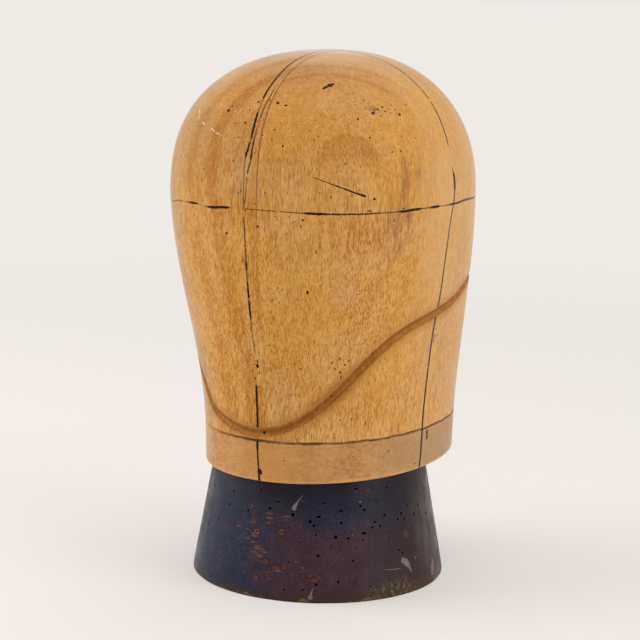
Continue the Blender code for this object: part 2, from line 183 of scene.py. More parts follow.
# Strokes: what they are, places as degrees and millimetres up, and widths in millimetres
BLOCK_STROKES = (
    (INK, ((27.7, 289), (29.2, 289.8), (30.4, 290.4), (31.6, 290.9), (34, 291.7)),
     (0.7, 2.2, 1.6, 3.2, 1.6)),
    (INK, ((23.6, 243.5), (34, 238.6), (40, 235.6), (45.6, 233.1)), (0.3, 0.7, 0.9, 1.3)),
    (PALE, ((-33.4, 275.2), (-31.3, 273.2)), (1, 0.7)),
    (PALE, ((-30.6, 272.6), (-28.6, 269.9)), (0.5, 0.7)),
    (PALE, ((-24.5, 268.9), (-22.4, 267.6)), (0.9, 0.8)),
    (PALE, ((-17.4, 266.3), (-14.6, 264.6)), (0.5, 0.9)),
    (PALE, ((-13.6, 264.1), (-10.5, 262.7)), (0.8, 0.3)),
    (PALE, ((-37.2, 235.4), (-33, 237.3)), (0.3, 0.5)),
)
PLATE_STROKES = (
    (INK, ((85.7, 91.2), (85.9, 85)), (2, 1.7)),
    (INK, ((0.7, 91.4), (0.3, 88.4)), (1.7, 1.1)),
    (INK, ((2, 76.4), (2.4, 73)), (1.4, 2.4)),
)

# Worm holes in the stand, with and without a rim of bare wood, in the same way
RIMMED_HOLES = (
    (-8, 50.3, 2.2, 2.4), (-6, 46.4, 1.6, 2), (-5, 43, 2, 2.6), (-15, 38.7, 1.9, 2.7), (-3, 37, 3.2, 3.3),
    (10, 38.5, 2.9, 3.1), (3, 42.9, 3, 1.7), (-13, 31, 2.4, 2.1), (3, 20.9, 2.6, 2.5),
    (12.2, 19.3, 2.3, 2.7), (9.4, 17.6, 2, 1), (4.8, 14.6, 1.9, 2), (5.8, 11.8, 1.9, 1.9),
    (-1, 11, 2.6, 2.5), (-25, 19.8, 2.8, 1.6), (-33, 34, 2.4, 1.1), (-26, 24, 1.6, 0.9),
    (21, 19.6, 1.7, 1.9), (24.4, 15.6, 2.2, 1.5), (28.3, 14.4, 2.3, 1.9), (21.2, 15, 1.6, 1),
    (-10, 34.6, 1.6, 1), (-7, 33.6, 1, 1), (16.4, 16.4, 1, 1.6), (-8.4, 26.4, 1.8, 0.9), (54, 62, 2.2, 1.7),
    (-7.6, 12.2, 1.4, 0.9), (-11.4, 44.6, 1.3, 1),
)
PLAIN_HOLES = (
    (39, 51.6, 2.5, 1.2), (49, 53.6, 1.7, 1.3), (51, 51.2, 1.9, 1.3), (39, 45, 1.6, 1.6),
    (28, 48.5, 2.6, 1.5), (23.8, 45.7, 2.1, 1.9), (25.7, 43.3, 1.8, 1.3), (36.2, 37, 1.9, 2.3),
    (42.3, 36, 1.7, 1.4), (50.2, 38.3, 3, 1.5), (59.2, 41.3, 1.4, 1.8), (56.4, 43.9, 1.5, 1.3),
    (62.4, 47, 1.7, 1.4), (73.2, 45.8, 1.8, 1.5), (70.4, 43.2, 1.6, 1.5), (75.2, 42, 1.5, 1.4),
    (83.3, 43.5, 1.9, 1.5), (88.2, 47.2, 1.6, 1.6), (96, 40.2, 1.7, 1.5), (78.4, 49.4, 1.4, 0.9),
    (58, 55.2, 1.1, 1.1), (65, 62.2, 1.4, 1.2), (47, 63.6, 1.5, 1.1), (30.2, 56, 1.2, 1.1),
    (28, 26.7, 2.2, 1.3), (44.3, 23.4, 1.3, 1.6), (69.2, 26, 1.5, 1.3), (71.4, 23.6, 1.4, 1.4),
    (37.2, 12.1, 1.8, 1.5), (27.3, 10.6, 1.6, 1.5), (52, 8.3, 1.2, 1), (54.8, 41, 1.3, 1.2),
    (49.6, 34.6, 1.3, 1.2), (26.8, 38.2, 1.3, 1.2), (-41.6, 54, 1.3, 1.2), (-23, 48, 1.4, 1.2),
    (-21.2, 56, 1.5, 1.4), (-30.2, 37.4, 1.3, 1.2), (-40.4, 31.6, 1.6, 1.4), (-9.4, 47.5, 1.5, 1.3),
    (3, 51, 1.9, 1.5), (7, 55.2, 1.8, 1.2), (-3, 60.5, 1.3, 1.1), (14.4, 22.4, 1.3, 1),
    (21.4, 7.5, 1.4, 1.2), (13, 6.6, 1.1, 1), (13.2, 41.2, 1.2, 1), (15.2, 48.9, 2.2, 1.8),
    (57.4, 24.4, 0.8, 0.8), (46.2, 30.8, 0.8, 1), (80.8, 36.6, 1.1, 0.9), (100.8, 64.4, 1.2, 1),
    (34.2, 31.4, 0.8, 0.7), (64.2, 33.4, 0.9, 0.8), (19, 33.6, 0.7, 0.7), (-34, 45.4, 0.9, 0.8),
)
# Orange-brown smears where the paint is rubbed off: degrees, millimetres up, half width
SMEARS = (
    (-6, 41.5, 2.6), (-9, 37.4, 3), (-5, 35.6, 2.6), (-4, 34.2, 3.6), (-8, 32.2, 3), (-4, 30.8, 3.4),
    (-2, 28.8, 3.6), (-1, 27.6, 4.6), (2, 26.2, 3.4), (-3, 25.2, 3), (0, 23.8, 4), (8.6, 18.4, 2.6),
    (10, 16.8, 3.4), (5.2, 15.6, 2.6), (12, 47.5, 3.4), (12, 45.6, 2.6), (3, 48.2, 3.6), (4, 45.6, 4.2),
    (21, 17.4, 2.6), (20, 57, 2.4), (26, 12.8, 3), (-14, 37.6, 2.6), (18, 22.6, 2.4), (-6, 44.6, 1.8),
)
# Scrapes through the stand's paint
STAND_STROKES = (
    (PALE, ((20, 60.2), (17.6, 56.9), (15.8, 53.4), (15.3, 51.4)), (0.3, 0.8, 2.2, 3.2)),
    (PALE, ((49, 56.6), (49.1, 55.4)), (1.4, 1.2)),
    (PALE, ((44.3, 37.9), (44.5, 37.2)), (0.8, 0.7)),
    (PALE, ((70.4, 20.2), (73, 18), (74.8, 15.2), (76.2, 11.4)), (3.4, 4.2, 2.6, 0.7)),
    (PALE, ((81, 19.6), (79.4, 18.2)), (0.6, 1.2)),
    (PALE, ((59.8, 16.4), (65, 15.6), (69.6, 15.2)), (0.3, 0.6, 0.4)),
    (PALE, ((26, 8.7), (25.2, 5.4), (24.8, 2.2)), (0.3, 1.4, 4.2)),
    (PALE, ((100, 61.6), (100.4, 55)), (0.9, 1.8)),
    (PALE, ((95.6, 15), (96.2, 11.4), (94.8, 7.6), (93, 4.6)), (0.9, 4.2, 5.4, 2.4)),
)

# What the unseen sides carry: how many of each mark, where, and how far apart in millimetres
HIDDEN_PITS = 26
HIDDEN_DOTS = 14
HIDDEN_HOLES = 70
HIDDEN_SCRAPES = 9
HIDDEN_DEGREES = (122, 304)
HIDDEN_BLOCK_LEVELS = (104, 296)
HIDDEN_STAND_LEVELS = (6, 62)
BLOCK_MARKS_APART = 6.0
STAND_MARKS_APART = 5.5
MILLIMETRES_PER_DEGREE = 1.3
RIMMED_SHARE = 0.35
# Their sizes in millimetres, how tall they are for their width, and how far a scrape runs
HIDDEN_PIT_SIZE = (0.6, 1.3)
HIDDEN_PIT_TALL = (0.9, 1.7)
HIDDEN_HOLE_SIZE = (0.8, 1.9)
HIDDEN_HOLE_TALL = (0.6, 1.5)
SCRAPE_DEGREES = (-1.6, 1.6)
SCRAPE_RISE = (1.2, 2.6)
SCRAPE_WIDTHS = (0.5, 1.3)
# How far the seeded marks keep off the groove and the glue line
CLEAR_OF_GROOVE = 0.008
CLEAR_OF_GLUE = 0.004
# A mark this near the glue line is cut into both boards
WIDEST_PIT_REACH = 0.0015

# Seeds of the marks
BLOCK_SEED = 17
PLATE_SEED = 5
STAND_SEED = 11

# Pits from the outside in: share of the size, millimetres deep, look of the wall
PIT_LAYERS = ((1.0, -0.4, BARE), (0.92, 0.2, BARE), (0.68, 0.3, BARE), (0.5, 1.3, DARK))
DOT_LAYERS = ((1.0, -0.3, INK), (0.94, 0.08, INK))
NAIL_LAYERS = ((1.0, -0.4, DARK), (0.9, 1.5, DARK), (0.6, 4.6, DARK))
RIMMED_LAYERS = ((1.0, -0.4, BARE), (0.95, 0.12, BARE), (0.42, 0.2, BARE), (0.34, 2.4, DARK))
PLAIN_LAYERS = ((1.0, -0.4, DARK), (0.92, 0.2, DARK), (0.6, 2.6, DARK))
PLAIN_HOLE_SCALE = 1.1
PIT_CORNERS = 10
PIT_RAGGED = (0.80, 1.15)

# Strokes: steps in each leg, how uneven the width is, how narrow the ends are, how many steps away the
# heading is taken, and how far the tool goes below and above the surface
STROKE_STEPS = 7
STROKE_RAGGED = (0.72, 1.15)
STROKE_END = 0.45
STROKE_LOOK = 3
STROKE_DEPTH = 0.00009
STROKE_TOP = 0.0004

# How far hand work and wear stand off the smooth form, and how fine each of them is
UNEVENNESS = ((0.00012, 28), (0.00005, 90))
TURNING_DEPTH = 0.00003
TURNING_FINENESS = 5200
CHIP_DEPTH = 0.0005
CHIP_HEIGHT = 0.004
CHIP_FINENESS = 60
CHIP_OFFSET = Vector((3, 1, 7))

# Edges of the plate and the stand. The stand's are heights and insets.
PLATE_ROUNDING = 0.0011
PLATE_TOP_EDGE = 0.0003
STAND_ROUNDING = 0.0009
STAND_FOOT_EDGE = ((0.0, 0.0010), (0.00012, 0.0005), (0.0004, 0.00016), (0.0008, 0.00003))
STAND_TOP_EDGE = ((0.0003, 0.00012), (0.0001, 0.0004), (0.0, 0.0009))
STAND_TOP_RINGS = (
    (0.030, STAND_HEIGHT),
    (SOCKET_RADIUS + 0.0005, STAND_HEIGHT),
    (SOCKET_RADIUS, STAND_HEIGHT - 0.0005),
    (SOCKET_RADIUS, SOCKET_FLOOR),
)

# Mesh density, and the steps by which directions are measured
COLUMNS = 420
ROWS_BELOW = 14
ROWS_ABOVE = 110
PLATE_ROWS = 11
PLATE_EDGE_STEPS = 5
STAND_COLUMNS = 360
STAND_ROWS = 64
SHARP_ANGLE = math.radians(40)
NORMAL_STEP = 0.0008
ALONG_STEP = 0.002
SLOPE_STEP = 0.01
POLE_MARGIN = 0.0001
GLUE_GAP = 0.00006
GROOVE_LOWEST = 0.0003
TOOL_PAST = 0.002
BORE_SIDES = 48
SCREW_SIDES = 16
SCREW_HEAD_SIDES = 24
# How far across the groove the underside and the top count, beyond any mark beside it
FAR_BELOW_GROOVE = -9.0
FAR_ABOVE_GROOVE = 99.0

# The photograph's camera
EYE = Vector((0.5142, -0.9748, 0.3426))
HEADING = math.radians(27.81)
PITCH = math.radians(9.923)
ROLL = math.radians(1.096)
LENS = 106.55
SENSOR = 36.0
SHIFT_X = -2.3 / 640

# Soft boxes: name, place, width, height and power. Each looks at the middle of the block.
LAMPS = (
    ("soft_box_left", (-1.25, -0.60, 0.80), 1.2, 1.2, 15.0),
    ("soft_box_right", (1.50, -0.10, 0.75), 1.0, 1.2, 10.5),
    ("soft_box_above", (0.10, 0.40, 1.80), 1.4, 1.4, 7.5),
)
LIT_SPOT = Vector((0, 0, 0.16))
WORLD_LIGHT = (1.0, 0.985, 0.97)
WORLD_STRENGTH = 0.54
BACKDROP = (0.845, 0.805, 0.775)
FLOOR_COLOUR = (0.84, 0.803, 0.772)
FLOOR_GLOW = (0.865, 0.825, 0.79)
FLOOR_SIZE = 60

# Colours of the woods and the ink
WOOD_LIGHT = (0.69, 0.385, 0.140)
WOOD_GOLD = (0.69, 0.354, 0.080)
WOOD_DEEP = (0.455, 0.168, 0.022)
WOOD_FLECK = (0.310, 0.098, 0.014)
WOOD_SPECK = (0.085, 0.026, 0.007)
WOOD_WIPED = (0.72, 0.42, 0.25)
WOOD_WAXED = (0.66, 0.42, 0.20)
WOOD_BRUISE = (0.27, 0.122, 0.062)
WOOD_SMUDGE = (0.115, 0.090, 0.098)
LEFT_TINT = (0.88, 0.93, 1.0)
# Painted shade for spots at the left and on the crown
PAINTED_SHADE_TINT = (0.86, 0.86, 0.87)
# In the groove, the darker middle and the dark upper lip are painted shade
GROOVE_SHADED_MIDDLE = (0.290, 0.098, 0.009)
GROOVE_WALL = (0.47, 0.195, 0.038)
GROOVE_MOTTLE = (0.17, 0.052, 0.006)
GROOVE_BESIDE_BROWN = (0.34, 0.130, 0.022)
GROOVE_LIP_SHADE = (0.105, 0.032, 0.007)
BLOCK_JOINT_DARK = (0.075, 0.030, 0.012)
GLUE_LINE = (0.19, 0.068, 0.020)
PLATE_LIGHT = (0.60, 0.318, 0.122)
PLATE_DEEP = (0.38, 0.168, 0.056)
PLATE_RIGHT = (0.40, 0.25, 0.125)
PLATE_WARM = (0.54, 0.245, 0.058)
PLATE_LEFT = (0.62, 0.45, 0.245)
PLATE_RIM = (0.66, 0.37, 0.14)
PLATE_JOINT_DARK = (0.090, 0.036, 0.014)
DOWEL_LIGHT = (0.55, 0.36, 0.18)
DOWEL_DEEP = (0.40, 0.23, 0.10)
INK_BLACK = (0.020, 0.010, 0.004)
INK_BROWN = (0.120, 0.045, 0.017)

# Colours of the stand and the screws
PAINT_BLUE = (0.012, 0.017, 0.044)
PAINT_PURPLE = (0.047, 0.020, 0.032)
STAND_OLIVE = (0.046, 0.032, 0.018)
STAND_TEAL = (0.045, 0.085, 0.095)
STAND_DUST = (0.080, 0.045, 0.044)
STAND_PALE_SPECK = (0.105, 0.072, 0.076)
STAND_DARK_SPECK = (0.004, 0.003, 0.004)
STAND_GRIME = (0.070, 0.045, 0.046)
STAND_SOOT = (0.008, 0.006, 0.010)
STAND_BROWNED = (0.060, 0.042, 0.042)
STAND_SMEAR = (0.215, 0.075, 0.028)
STAND_DAMP = (0.064, 0.042, 0.036)
STAND_BROWN = (0.040, 0.024, 0.017)
STAND_DAB = (0.170, 0.140, 0.150)
# Lighter towards the right edge: partly worn paint, partly a painted reflection
STAND_WEAR_AND_REFLECTION = (0.118, 0.085, 0.076)
# The next two colours are painted shade: under the plate, and over the right side
STAND_SHADE = (0.006, 0.005, 0.007)
STAND_RIGHT_SHADE = (0.012, 0.006, 0.006)
STAND_FOOT = (0.042, 0.022, 0.010)
STAND_WORN = (0.170, 0.086, 0.040)
STAND_CLAY = (0.215, 0.150, 0.100)
STAND_EDGE = (0.012, 0.007, 0.005)
STEEL = (0.36, 0.35, 0.33)
RUST = (0.16, 0.10, 0.06)

# Finishes inside the marks, in the order of their looks: name, colour, darker colour, roughness
MARK_FINISHES = (
    ("dry_ink", INK_BLACK, (0.030, 0.018, 0.012), 0.5),
    ("pale_scratch", (0.80, 0.72, 0.58), (0.62, 0.50, 0.36), 0.6),
    ("bare_wood", (0.27, 0.090, 0.030), (0.12, 0.040, 0.014), 0.7),
    # Near black deep in the holes and pits: painted shade
    ("hole_shade", (0.014, 0.006, 0.004), (0.005, 0.003, 0.002), 0.9),
)
SCRAPE_FINISH = ("dull_scrape", (0.22, 0.175, 0.155), (0.13, 0.10, 0.090), 0.6)


# Growth rings of the boards: millimetres from the pith, and how brown
WIDE_RINGS = (
    (170, 0.2), (186, 0.5), (189, 0.12), (205, 0.35), (210, 0.6), (212.5, 0.15), (228, 0.3), (233, 0.6),
    (236, 0.12), (250, 0.3), (256, 0.55), (258.5, 0.1), (270, 0.2), (276, 0.45), (279, 0.1), (288, 0.15),
    (293, 0.35), (297, 0.75), (300.5, 0.3), (305, 0.3), (307.6, 0.5), (309.8, 1), (313.5, 0.85),
    (317, 0.35), (320, 0.35), (324, 0.8), (330, 0.7),
)
NARROW_RINGS = (
    (370, 0.2), (378, 0.5), (381, 0.1), (392, 0.3), (398, 0.6), (401, 0.15), (414, 0.35), (419, 0.55),
    (421, 0.1), (435, 0.3), (441, 0.6), (443.5, 0.12), (457, 0.3), (462, 0.55), (464, 0.1), (474, 0.25),
    (480, 0.5), (482, 0.12), (490, 0.12), (496, 0.15), (498.5, 0.75), (500.5, 0.5), (503, 0.5),
    (505.6, 0.65), (506.8, 0.95), (508.4, 0.53), (512, 0.46), (518, 0.38), (523, 0.29), (535, 0.28),
)
# The innermost ring, where the outermost sheet of wood just reaches the surface: its middle as degrees
# and millimetres up, and how brown it is by millimetres from there
CORE_PLACE = (38.8, 249.5)
CORE_RING = ((0, 0.65), (9, 0.72), (14, 0.85), (16, 0.85), (17.6, 0.45), (20, 0.12), (26, 0), (60, 0))

# The boards: where the pith lies and how it leans above the waist of the block, the rings and how strong
# they stay below the crown, the first seed of the noises, and the lighter side, partly rubbed wear and
# partly painted sheen, with its colour, strength, degrees, and the levels between which it starts and fades
WAIST = 0.215
PITH_LEVEL = 0.230
BOARDS = {
    "wide_board": {
        "pith": (-0.2145, 0.151),
        "lean": (-0.081, 0.088),
        "rings": WIDE_RINGS,
        "rings_below_crown": 0.8,
        "seed": 2.0,
        "rub_and_sheen_colour": (0.600, 0.370, 0.155),
        "rub_and_sheen_strength": 0.3,
        "rub_and_sheen_degrees": (41, 60),
        "rub_and_sheen_levels": (0.10, 0.13, 0.208, 0.236),
    },
    "narrow_board": {
        "pith": (-0.245, 0.350),
        "lean": (-0.197, 0.267),
        "rings": NARROW_RINGS,
        "rings_below_crown": 0.35,
        "seed": 6.0,
        "rub_and_sheen_colour": (0.62, 0.358, 0.140),
        "rub_and_sheen_strength": 0.5,
        "rub_and_sheen_degrees": (58, 75),
        "rub_and_sheen_levels": (0.13, 0.21, 0.240, 0.295),
    },
}
# Noises of the boards: scale, detail, roughness, upright stretch, and what is added to the first seed
WOOD_PATTERNS = {
    "warp": (16, 2, 0.5, 0.4, 0),
    "mottle": (330, 3, 0.9, 0.6, 1),
    "streak": (260, 3, 0.85, 0.16, 3),
    "cloud": (34, 3, 0.6, 0.55, 5),
    "hung": (240, 2, 0.6, 0.08, 7),
    "grain": (1300, 2, 0.8, 0.15, 9),
    "golden": (24, 3, 0.6, 1, 11),
    "pores": (1900, 1, 0.5, 0.085, 13),
    "crowd": (46, 3, 0.7, 0.4, 15),
    "specks": (620, 1, 0.5, 0.6, 17),
}
# Bruised and dirty streaks: degrees, millimetres up, half width, half height, strength
BRUISES = ((63.6, 242, 5, 24, 0.85), (70.5, 243, 4, 7, 0.8), (65.5, 221, 7, 9, 0.7), (59, 214, 14, 34, 0.55))
# Lighter and browner areas: degrees, millimetres up, reach, how much browner.
# The lighter one high on the crown at 80 degrees is a painted highlight.
TONES_AND_PAINTED_HIGHLIGHT = ((10, 190, 46, -0.12), (61, 190, 34, 0.12), (50, 113, 32, 0.26), (80, 285, 42, -0.16))
# Spots of painted shade at the left and on the crown: degrees, millimetres up, reach
PAINTED_SHADE_SPOTS = ((-24, 262, 46), (-56, 230, 46), (0, 302, 50))


def signed_power(value, power):
    return math.copysign(abs(value) ** power, value)


def oval(back, front, side, roundness_back, roundness_front, shift, angle):
    """A point of an oval that reaches unequally far to the back and the front, as x and y."""
    towards_back = math.cos(angle)
    reach, roundness = (back, roundness_back) if towards_back > 0 else (front, roundness_front)
    y = shift - reach * signed_power(towards_back, 2 / roundness)
    x = side * signed_power(math.sin(angle), 2 / roundness)
    return x, y


def flare(share, foot, widest, lean):
    """A smooth way from the foot's value to the widest one, which leaves the foot with the lean."""
    rest = 1 - share
    return (
        foot * (1 + 2 * share) * rest ** 2
        + lean * share * rest ** 2
        + widest * (3 - 2 * share) * share ** 2
    )


def dome(share, curve):
    """How far the crown still reaches at a share of its rise."""
    return max(0.0, 1 - share ** curve) ** (1 / curve)


def roundness_between(start, end, share):
    return ROUNDNESS[start] + (ROUNDNESS[end] - ROUNDNESS[start]) * share


def block_point(height, angle):
    """A point of the block before the groove is cut, as the solids have it."""
    if height <= WIDEST_LEVEL:
        share = (height - BLOCK_BOTTOM) / WIDEST_RISE
        back = flare(share, PLATE_BACK, WIDEST_BACK, FOOT_LEAN_BACK)
        front = flare(share, PLATE_FRONT, WIDEST_FRONT, FOOT_LEAN_FRONT)
        side = flare(share, PLATE_SIDE, WIDEST_SIDE, FOOT_LEAN_SIDE)
        round_back = roundness_between("foot_back", "widest", share)
        round_front = roundness_between("foot_front", "widest", share)
        round_front += ROUNDNESS["cheek"] * 4 * share * (1 - share)
        shift = flare(share, PLATE_SHIFT, 0.0, 0.0)
    else:
        share = min(1.0, (height - WIDEST_LEVEL) / CROWN_RISE)
        back = WIDEST_BACK * dome(share, CROWN_CURVE["back"])
        front = WIDEST_FRONT * dome(share, CROWN_CURVE["front"])
        side = WIDEST_SIDE * dome(share, CROWN_CURVE["side"])
        round_back = roundness_between("widest", "crown", share)
        round_front = round_back
        shift = CROWN_SHIFT * (1 - math.sqrt(1 - share ** 2))
    x, y = oval(back, front, side, round_back, round_front, shift, angle)
    return Vector((x, y, height))


def plate_point(height, angle, inset=0.0):
    draft = PLATE_DRAFT * (PLATE_TOP - height) / (PLATE_TOP - PLATE_BOTTOM) + inset
    reaches = (reach - draft for reach in (PLATE_BACK, PLATE_FRONT, PLATE_SIDE))
    x, y = oval(*reaches, ROUNDNESS["foot_back"], ROUNDNESS["foot_front"], PLATE_SHIFT, angle)
    return Vector((x, y, height))


def stand_point(height, angle, inset=0.0):
    share = height / STAND_HEIGHT
    reach = STAND_FOOT_RADIUS + (STAND_TOP_RADIUS - STAND_FOOT_RADIUS) * share - inset
    return Vector((reach * math.sin(angle), -reach * math.cos(angle), height))


def surface_point(surface, degrees, up):
    """A surface's point by degrees and millimetres above the table."""
    return surface(up / 1000, math.radians(degrees))


def groove_height(angle):
    """The groove's height by angle: a smooth closed curve through the stations."""
    turn = math.degrees(angle)
    if turn > GROOVE_STATIONS[-1][0]:
        turn -= 360
    before = [(degrees - 360, up) for degrees, up in GROOVE_STATIONS[-2:]]
    after = [(degrees + 360, up) for degrees, up in GROOVE_STATIONS[:1]]
    stations = before + list(GROOVE_STATIONS) + after
    spot = 1
    while turn > stations[spot + 1][0]:
        spot += 1
    (left, low_before), (start, low), (end, high), (right, high_after) = stations[spot - 1:spot + 3]
    share = (turn - start) / (end - start)
    slope_in = (high - low_before) / (end - left) * (end - start)
    slope_out = (high_after - low) / (right - start) * (end - start)
    share_up = flare(share, low, high, slope_in) + slope_out * share ** 2 * (share - 1)
    return BLOCK_BOTTOM + share_up * WIDEST_RISE


def outward(surface, height, angle):
    """The surface's outward direction."""
    low, high = height - NORMAL_STEP, height + NORMAL_STEP
    if surface is block_point:
        low, high = max(low, BLOCK_BOTTOM), min(high, BLOCK_TOP - POLE_MARGIN)
    along = surface(height, angle + NORMAL_STEP) - surface(height, angle - NORMAL_STEP)
    up = surface(high, angle) - surface(low, angle)
    return along.cross(up).normalized()


def unevenness(point):
    """How far hand work and wear stand off the smooth form."""
    return sum(height * noise.noise(point * fineness) for height, fineness in UNEVENNESS)


def skin(surface, height, angle, lift=0.0):
    """A point on the worn surface, or lifted off it."""
    point = surface(height, angle)
    return point + outward(surface, height, angle) * (unevenness(point) + lift)


def new_object(name, bm):
    bmesh.ops.recalc_face_normals(bm, faces=bm.faces)
    mesh = bpy.data.meshes.new(name)
    bm.to_mesh(mesh)
    bm.free()
    mesh.shade_smooth()
    mesh.set_sharp_from_angle(angle=SHARP_ANGLE)
    item = bpy.data.objects.new(name, mesh)
    bpy.context.scene.collection.objects.link(item)
    return item


def joined(bm, lower, upper, look=0):
    """Faces between two rings of corners. A ring of one corner closes an end."""
    count = max(len(lower), len(upper))
    for i in range(count):
        j = (i + 1) % count
        corners = []
        for ring, spots in ((lower, (i, j)), (upper, (j, i))):
            if len(ring) == 1:
                corners.append(ring[0])
            else:
                corners += [ring[spot] for spot in spots]
        bm.faces.new(corners).material_index = look


def skinned(rows):
    """Closed mesh over rings of points from the lowest up."""
    bm = bmesh.new()
    rings = [[bm.verts.new(point) for point in row] for row in rows]
    for lower, upper in zip(rings, rings[1:]):
        joined(bm, lower, upper)
    return bm


def around(count):
    return [2 * math.pi * i / count for i in range(count)]


def cylinder(radius, bottom, top, spot=(0.0, 0.0), sides=BORE_SIDES):
    bm = bmesh.new()
    place = Matrix.Translation((*spot, (bottom + top) / 2))
    bmesh.ops.create_cone(
        bm, cap_ends=True, segments=sides, radius1=radius, radius2=radius, depth=top - bottom, matrix=place
    )
    return new_object("tool", bm)


def drill(item, tools):
    """Cuts each tool out of the object and removes the tools."""
    for tool in tools:
        hole = item.modifiers.new("Hole", "BOOLEAN")
        hole.solver = "EXACT"
        hole.object = tool
    bpy.context.view_layer.update()
    cut = bpy.data.meshes.new_from_object(item.evaluated_get(bpy.context.evaluated_depsgraph_get()))
    item.modifiers.clear()
    item.data = cut
    cut.set_sharp_from_angle(angle=SHARP_ANGLE)
    for tool in tools:
        bpy.data.objects.remove(tool, do_unlink=True)


def local_axes(surface, degrees, up):
    """A point of the worn surface with its directions along, up and outward."""
    height, angle = up / 1000, math.radians(degrees)
    away = outward(surface, height, angle)
    along = (surface(height, angle + ALONG_STEP) - surface(height, angle - ALONG_STEP)).normalized()
    return skin(surface, height, angle), along, away.cross(along), away


def add_pit(bm, surface, mark, layers, draw):
    """A tool for one pit. Layers are share of the size, depth in millimetres, and look of the wall."""
    degrees, up, width, tall = mark
    point, along, rise, away = local_axes(surface, degrees, up)
    turns = [(math.cos(a), math.sin(a), draw.uniform(*PIT_RAGGED)) for a in around(PIT_CORNERS)]
    last = None
    for share, depth, look in layers:
        ring = []
        for across, over, uneven in turns:
            sideways = along * (across * width * uneven * share / 2000)
            upward = rise * (over * tall * uneven * share / 2000)
            ring.append(bm.verts.new(point + (sideways + upward) - away * (depth / 1000)))
        if last is None:
            bm.faces.new(ring)
        else:
            joined(bm, last, ring, look)
        last = ring
    bm.faces.new(list(reversed(last))).material_index = layers[-1][2]


def add_stroke(bm, surface, stroke, draw):
    """A tool for one scratch or pen stroke along places on the surface."""
    look, places, widths = stroke
    count = STROKE_STEPS * (len(places) - 1)
    stations = []
    for i in range(count + 1):
        spot = min(i * (len(places) - 1) / count, len(places) - 1.0001)
        leg = int(spot)
        share = spot - leg
        start, end = ((*places[at], widths[at]) for at in (leg, leg + 1))
        degrees, up, width = (low * (1 - share) + high * share for low, high in zip(start, end))
        width *= draw.uniform(*STROKE_RAGGED) * (STROKE_END if i in (0, count) else 1.0)
        point, _, _, away = local_axes(surface, degrees, up)
        stations.append((point, away, width))
    rings = []
    for i, (point, away, width) in enumerate(stations):
        ahead, behind = stations[min(i + STROKE_LOOK, count)], stations[max(i - STROKE_LOOK, 0)]
        across = away.cross(ahead[0] - behind[0]).normalized() * (width / 2000)
        deep = away * STROKE_DEPTH
        high = away * STROKE_TOP
        corners = (point - across + high, point + across + high, point + across - deep, point - across - deep)
        rings.append([bm.verts.new(corner) for corner in corners])
    for lower, upper in zip(rings, rings[1:]):
        joined(bm, lower, upper, look)
    bm.faces.new(list(reversed(rings[0]))).material_index = look
    bm.faces.new(rings[-1]).material_index = look


def hidden_places(count, levels, apart, draw, free=lambda degrees, up: True):
    """Seeded places on the sides that the photograph doesn't show, none too near another."""
    places = []
    while len(places) < count:
        degrees = draw.uniform(*HIDDEN_DEGREES)
        up = draw.uniform(*levels)
        clear = all(
            math.hypot((degrees - other) * MILLIMETRES_PER_DEGREE, up - level) > apart
            for other, level in places
        )
        if clear and free(degrees, up):
            places.append((degrees, up))
    return places


def off_the_groove(degrees, up):
    groove = groove_height(math.radians(degrees) % (2 * math.pi))
    off_glue = surface_point(block_point, degrees, up).x - GLUE_OFFSET
    return abs(up / 1000 - groove) > CLEAR_OF_GROOVE and abs(off_glue) > CLEAR_OF_GLUE


def block_marks(side, draw):
    """One tool that cuts the pits, dots and strokes of one board."""
    marks = []
    for group, layers in ((WORM_PITS, PIT_LAYERS), (INK_DOTS, DOT_LAYERS), (NAIL_HOLES, NAIL_LAYERS)):
        marks += [(mark, layers) for mark in group]
    for count, layers in ((HIDDEN_PITS, PIT_LAYERS), (HIDDEN_DOTS, DOT_LAYERS)):
        for degrees, up in hidden_places(count, HIDDEN_BLOCK_LEVELS, BLOCK_MARKS_APART, draw, off_the_groove):
            size = draw.uniform(*HIDDEN_PIT_SIZE)
            marks.append(((degrees, up, size, size * draw.uniform(*HIDDEN_PIT_TALL)), layers))

    def into_board(degrees, up):
        return side * (surface_point(block_point, degrees, up).x - GLUE_OFFSET)

    bm = bmesh.new()
    for mark, layers in marks:
        if into_board(*mark[:2]) > -WIDEST_PIT_REACH:
            add_pit(bm, block_point, mark, layers, draw)
    for stroke in BLOCK_STROKES:
        if into_board(*stroke[1][0]) > 0:
            add_stroke(bm, block_point, stroke, draw)
    return new_object("tool", bm)


def block_columns():
    """Upright columns over the whole block: points, and how far each is across the groove."""
    half = [(off / 1000, deep / 1000) for off, deep in GROOVE_SECTION]
    section = [(-off, deep) for off, deep in reversed(half[1:])] + half
    edge = half[-1][0]
    columns = []
    for angle in around(COLUMNS):
        middle = groove_height(angle)
        ahead, behind = (
            block_point(groove_height(near), near) for near in (angle + SLOPE_STEP, angle - SLOPE_STEP)
        )
        level = math.hypot(ahead.x - behind.x, ahead.y - behind.y)
        stretch = math.hypot(1.0, (ahead.z - behind.z) / level)
        low = max(middle - edge * stretch, BLOCK_BOTTOM + GROOVE_LOWEST)
        high = middle + edge * stretch
        column = [(BLOCK_BOTTOM + (low - BLOCK_BOTTOM) * i / ROWS_BELOW, 0.0) for i in range(ROWS_BELOW)]
        column += [(max(middle + off * stretch, low), deep) for off, deep in section]
        for i in range(1, ROWS_ABOVE):
            share = math.sin(math.pi / 2 * i / ROWS_ABOVE)
            column.append((high + (BLOCK_TOP - high) * share, 0.0))
        columns.append([
            (skin(block_point, height, angle, -deep), (height - middle) / (edge * stretch))
            for height, deep in column
        ])
    return columns


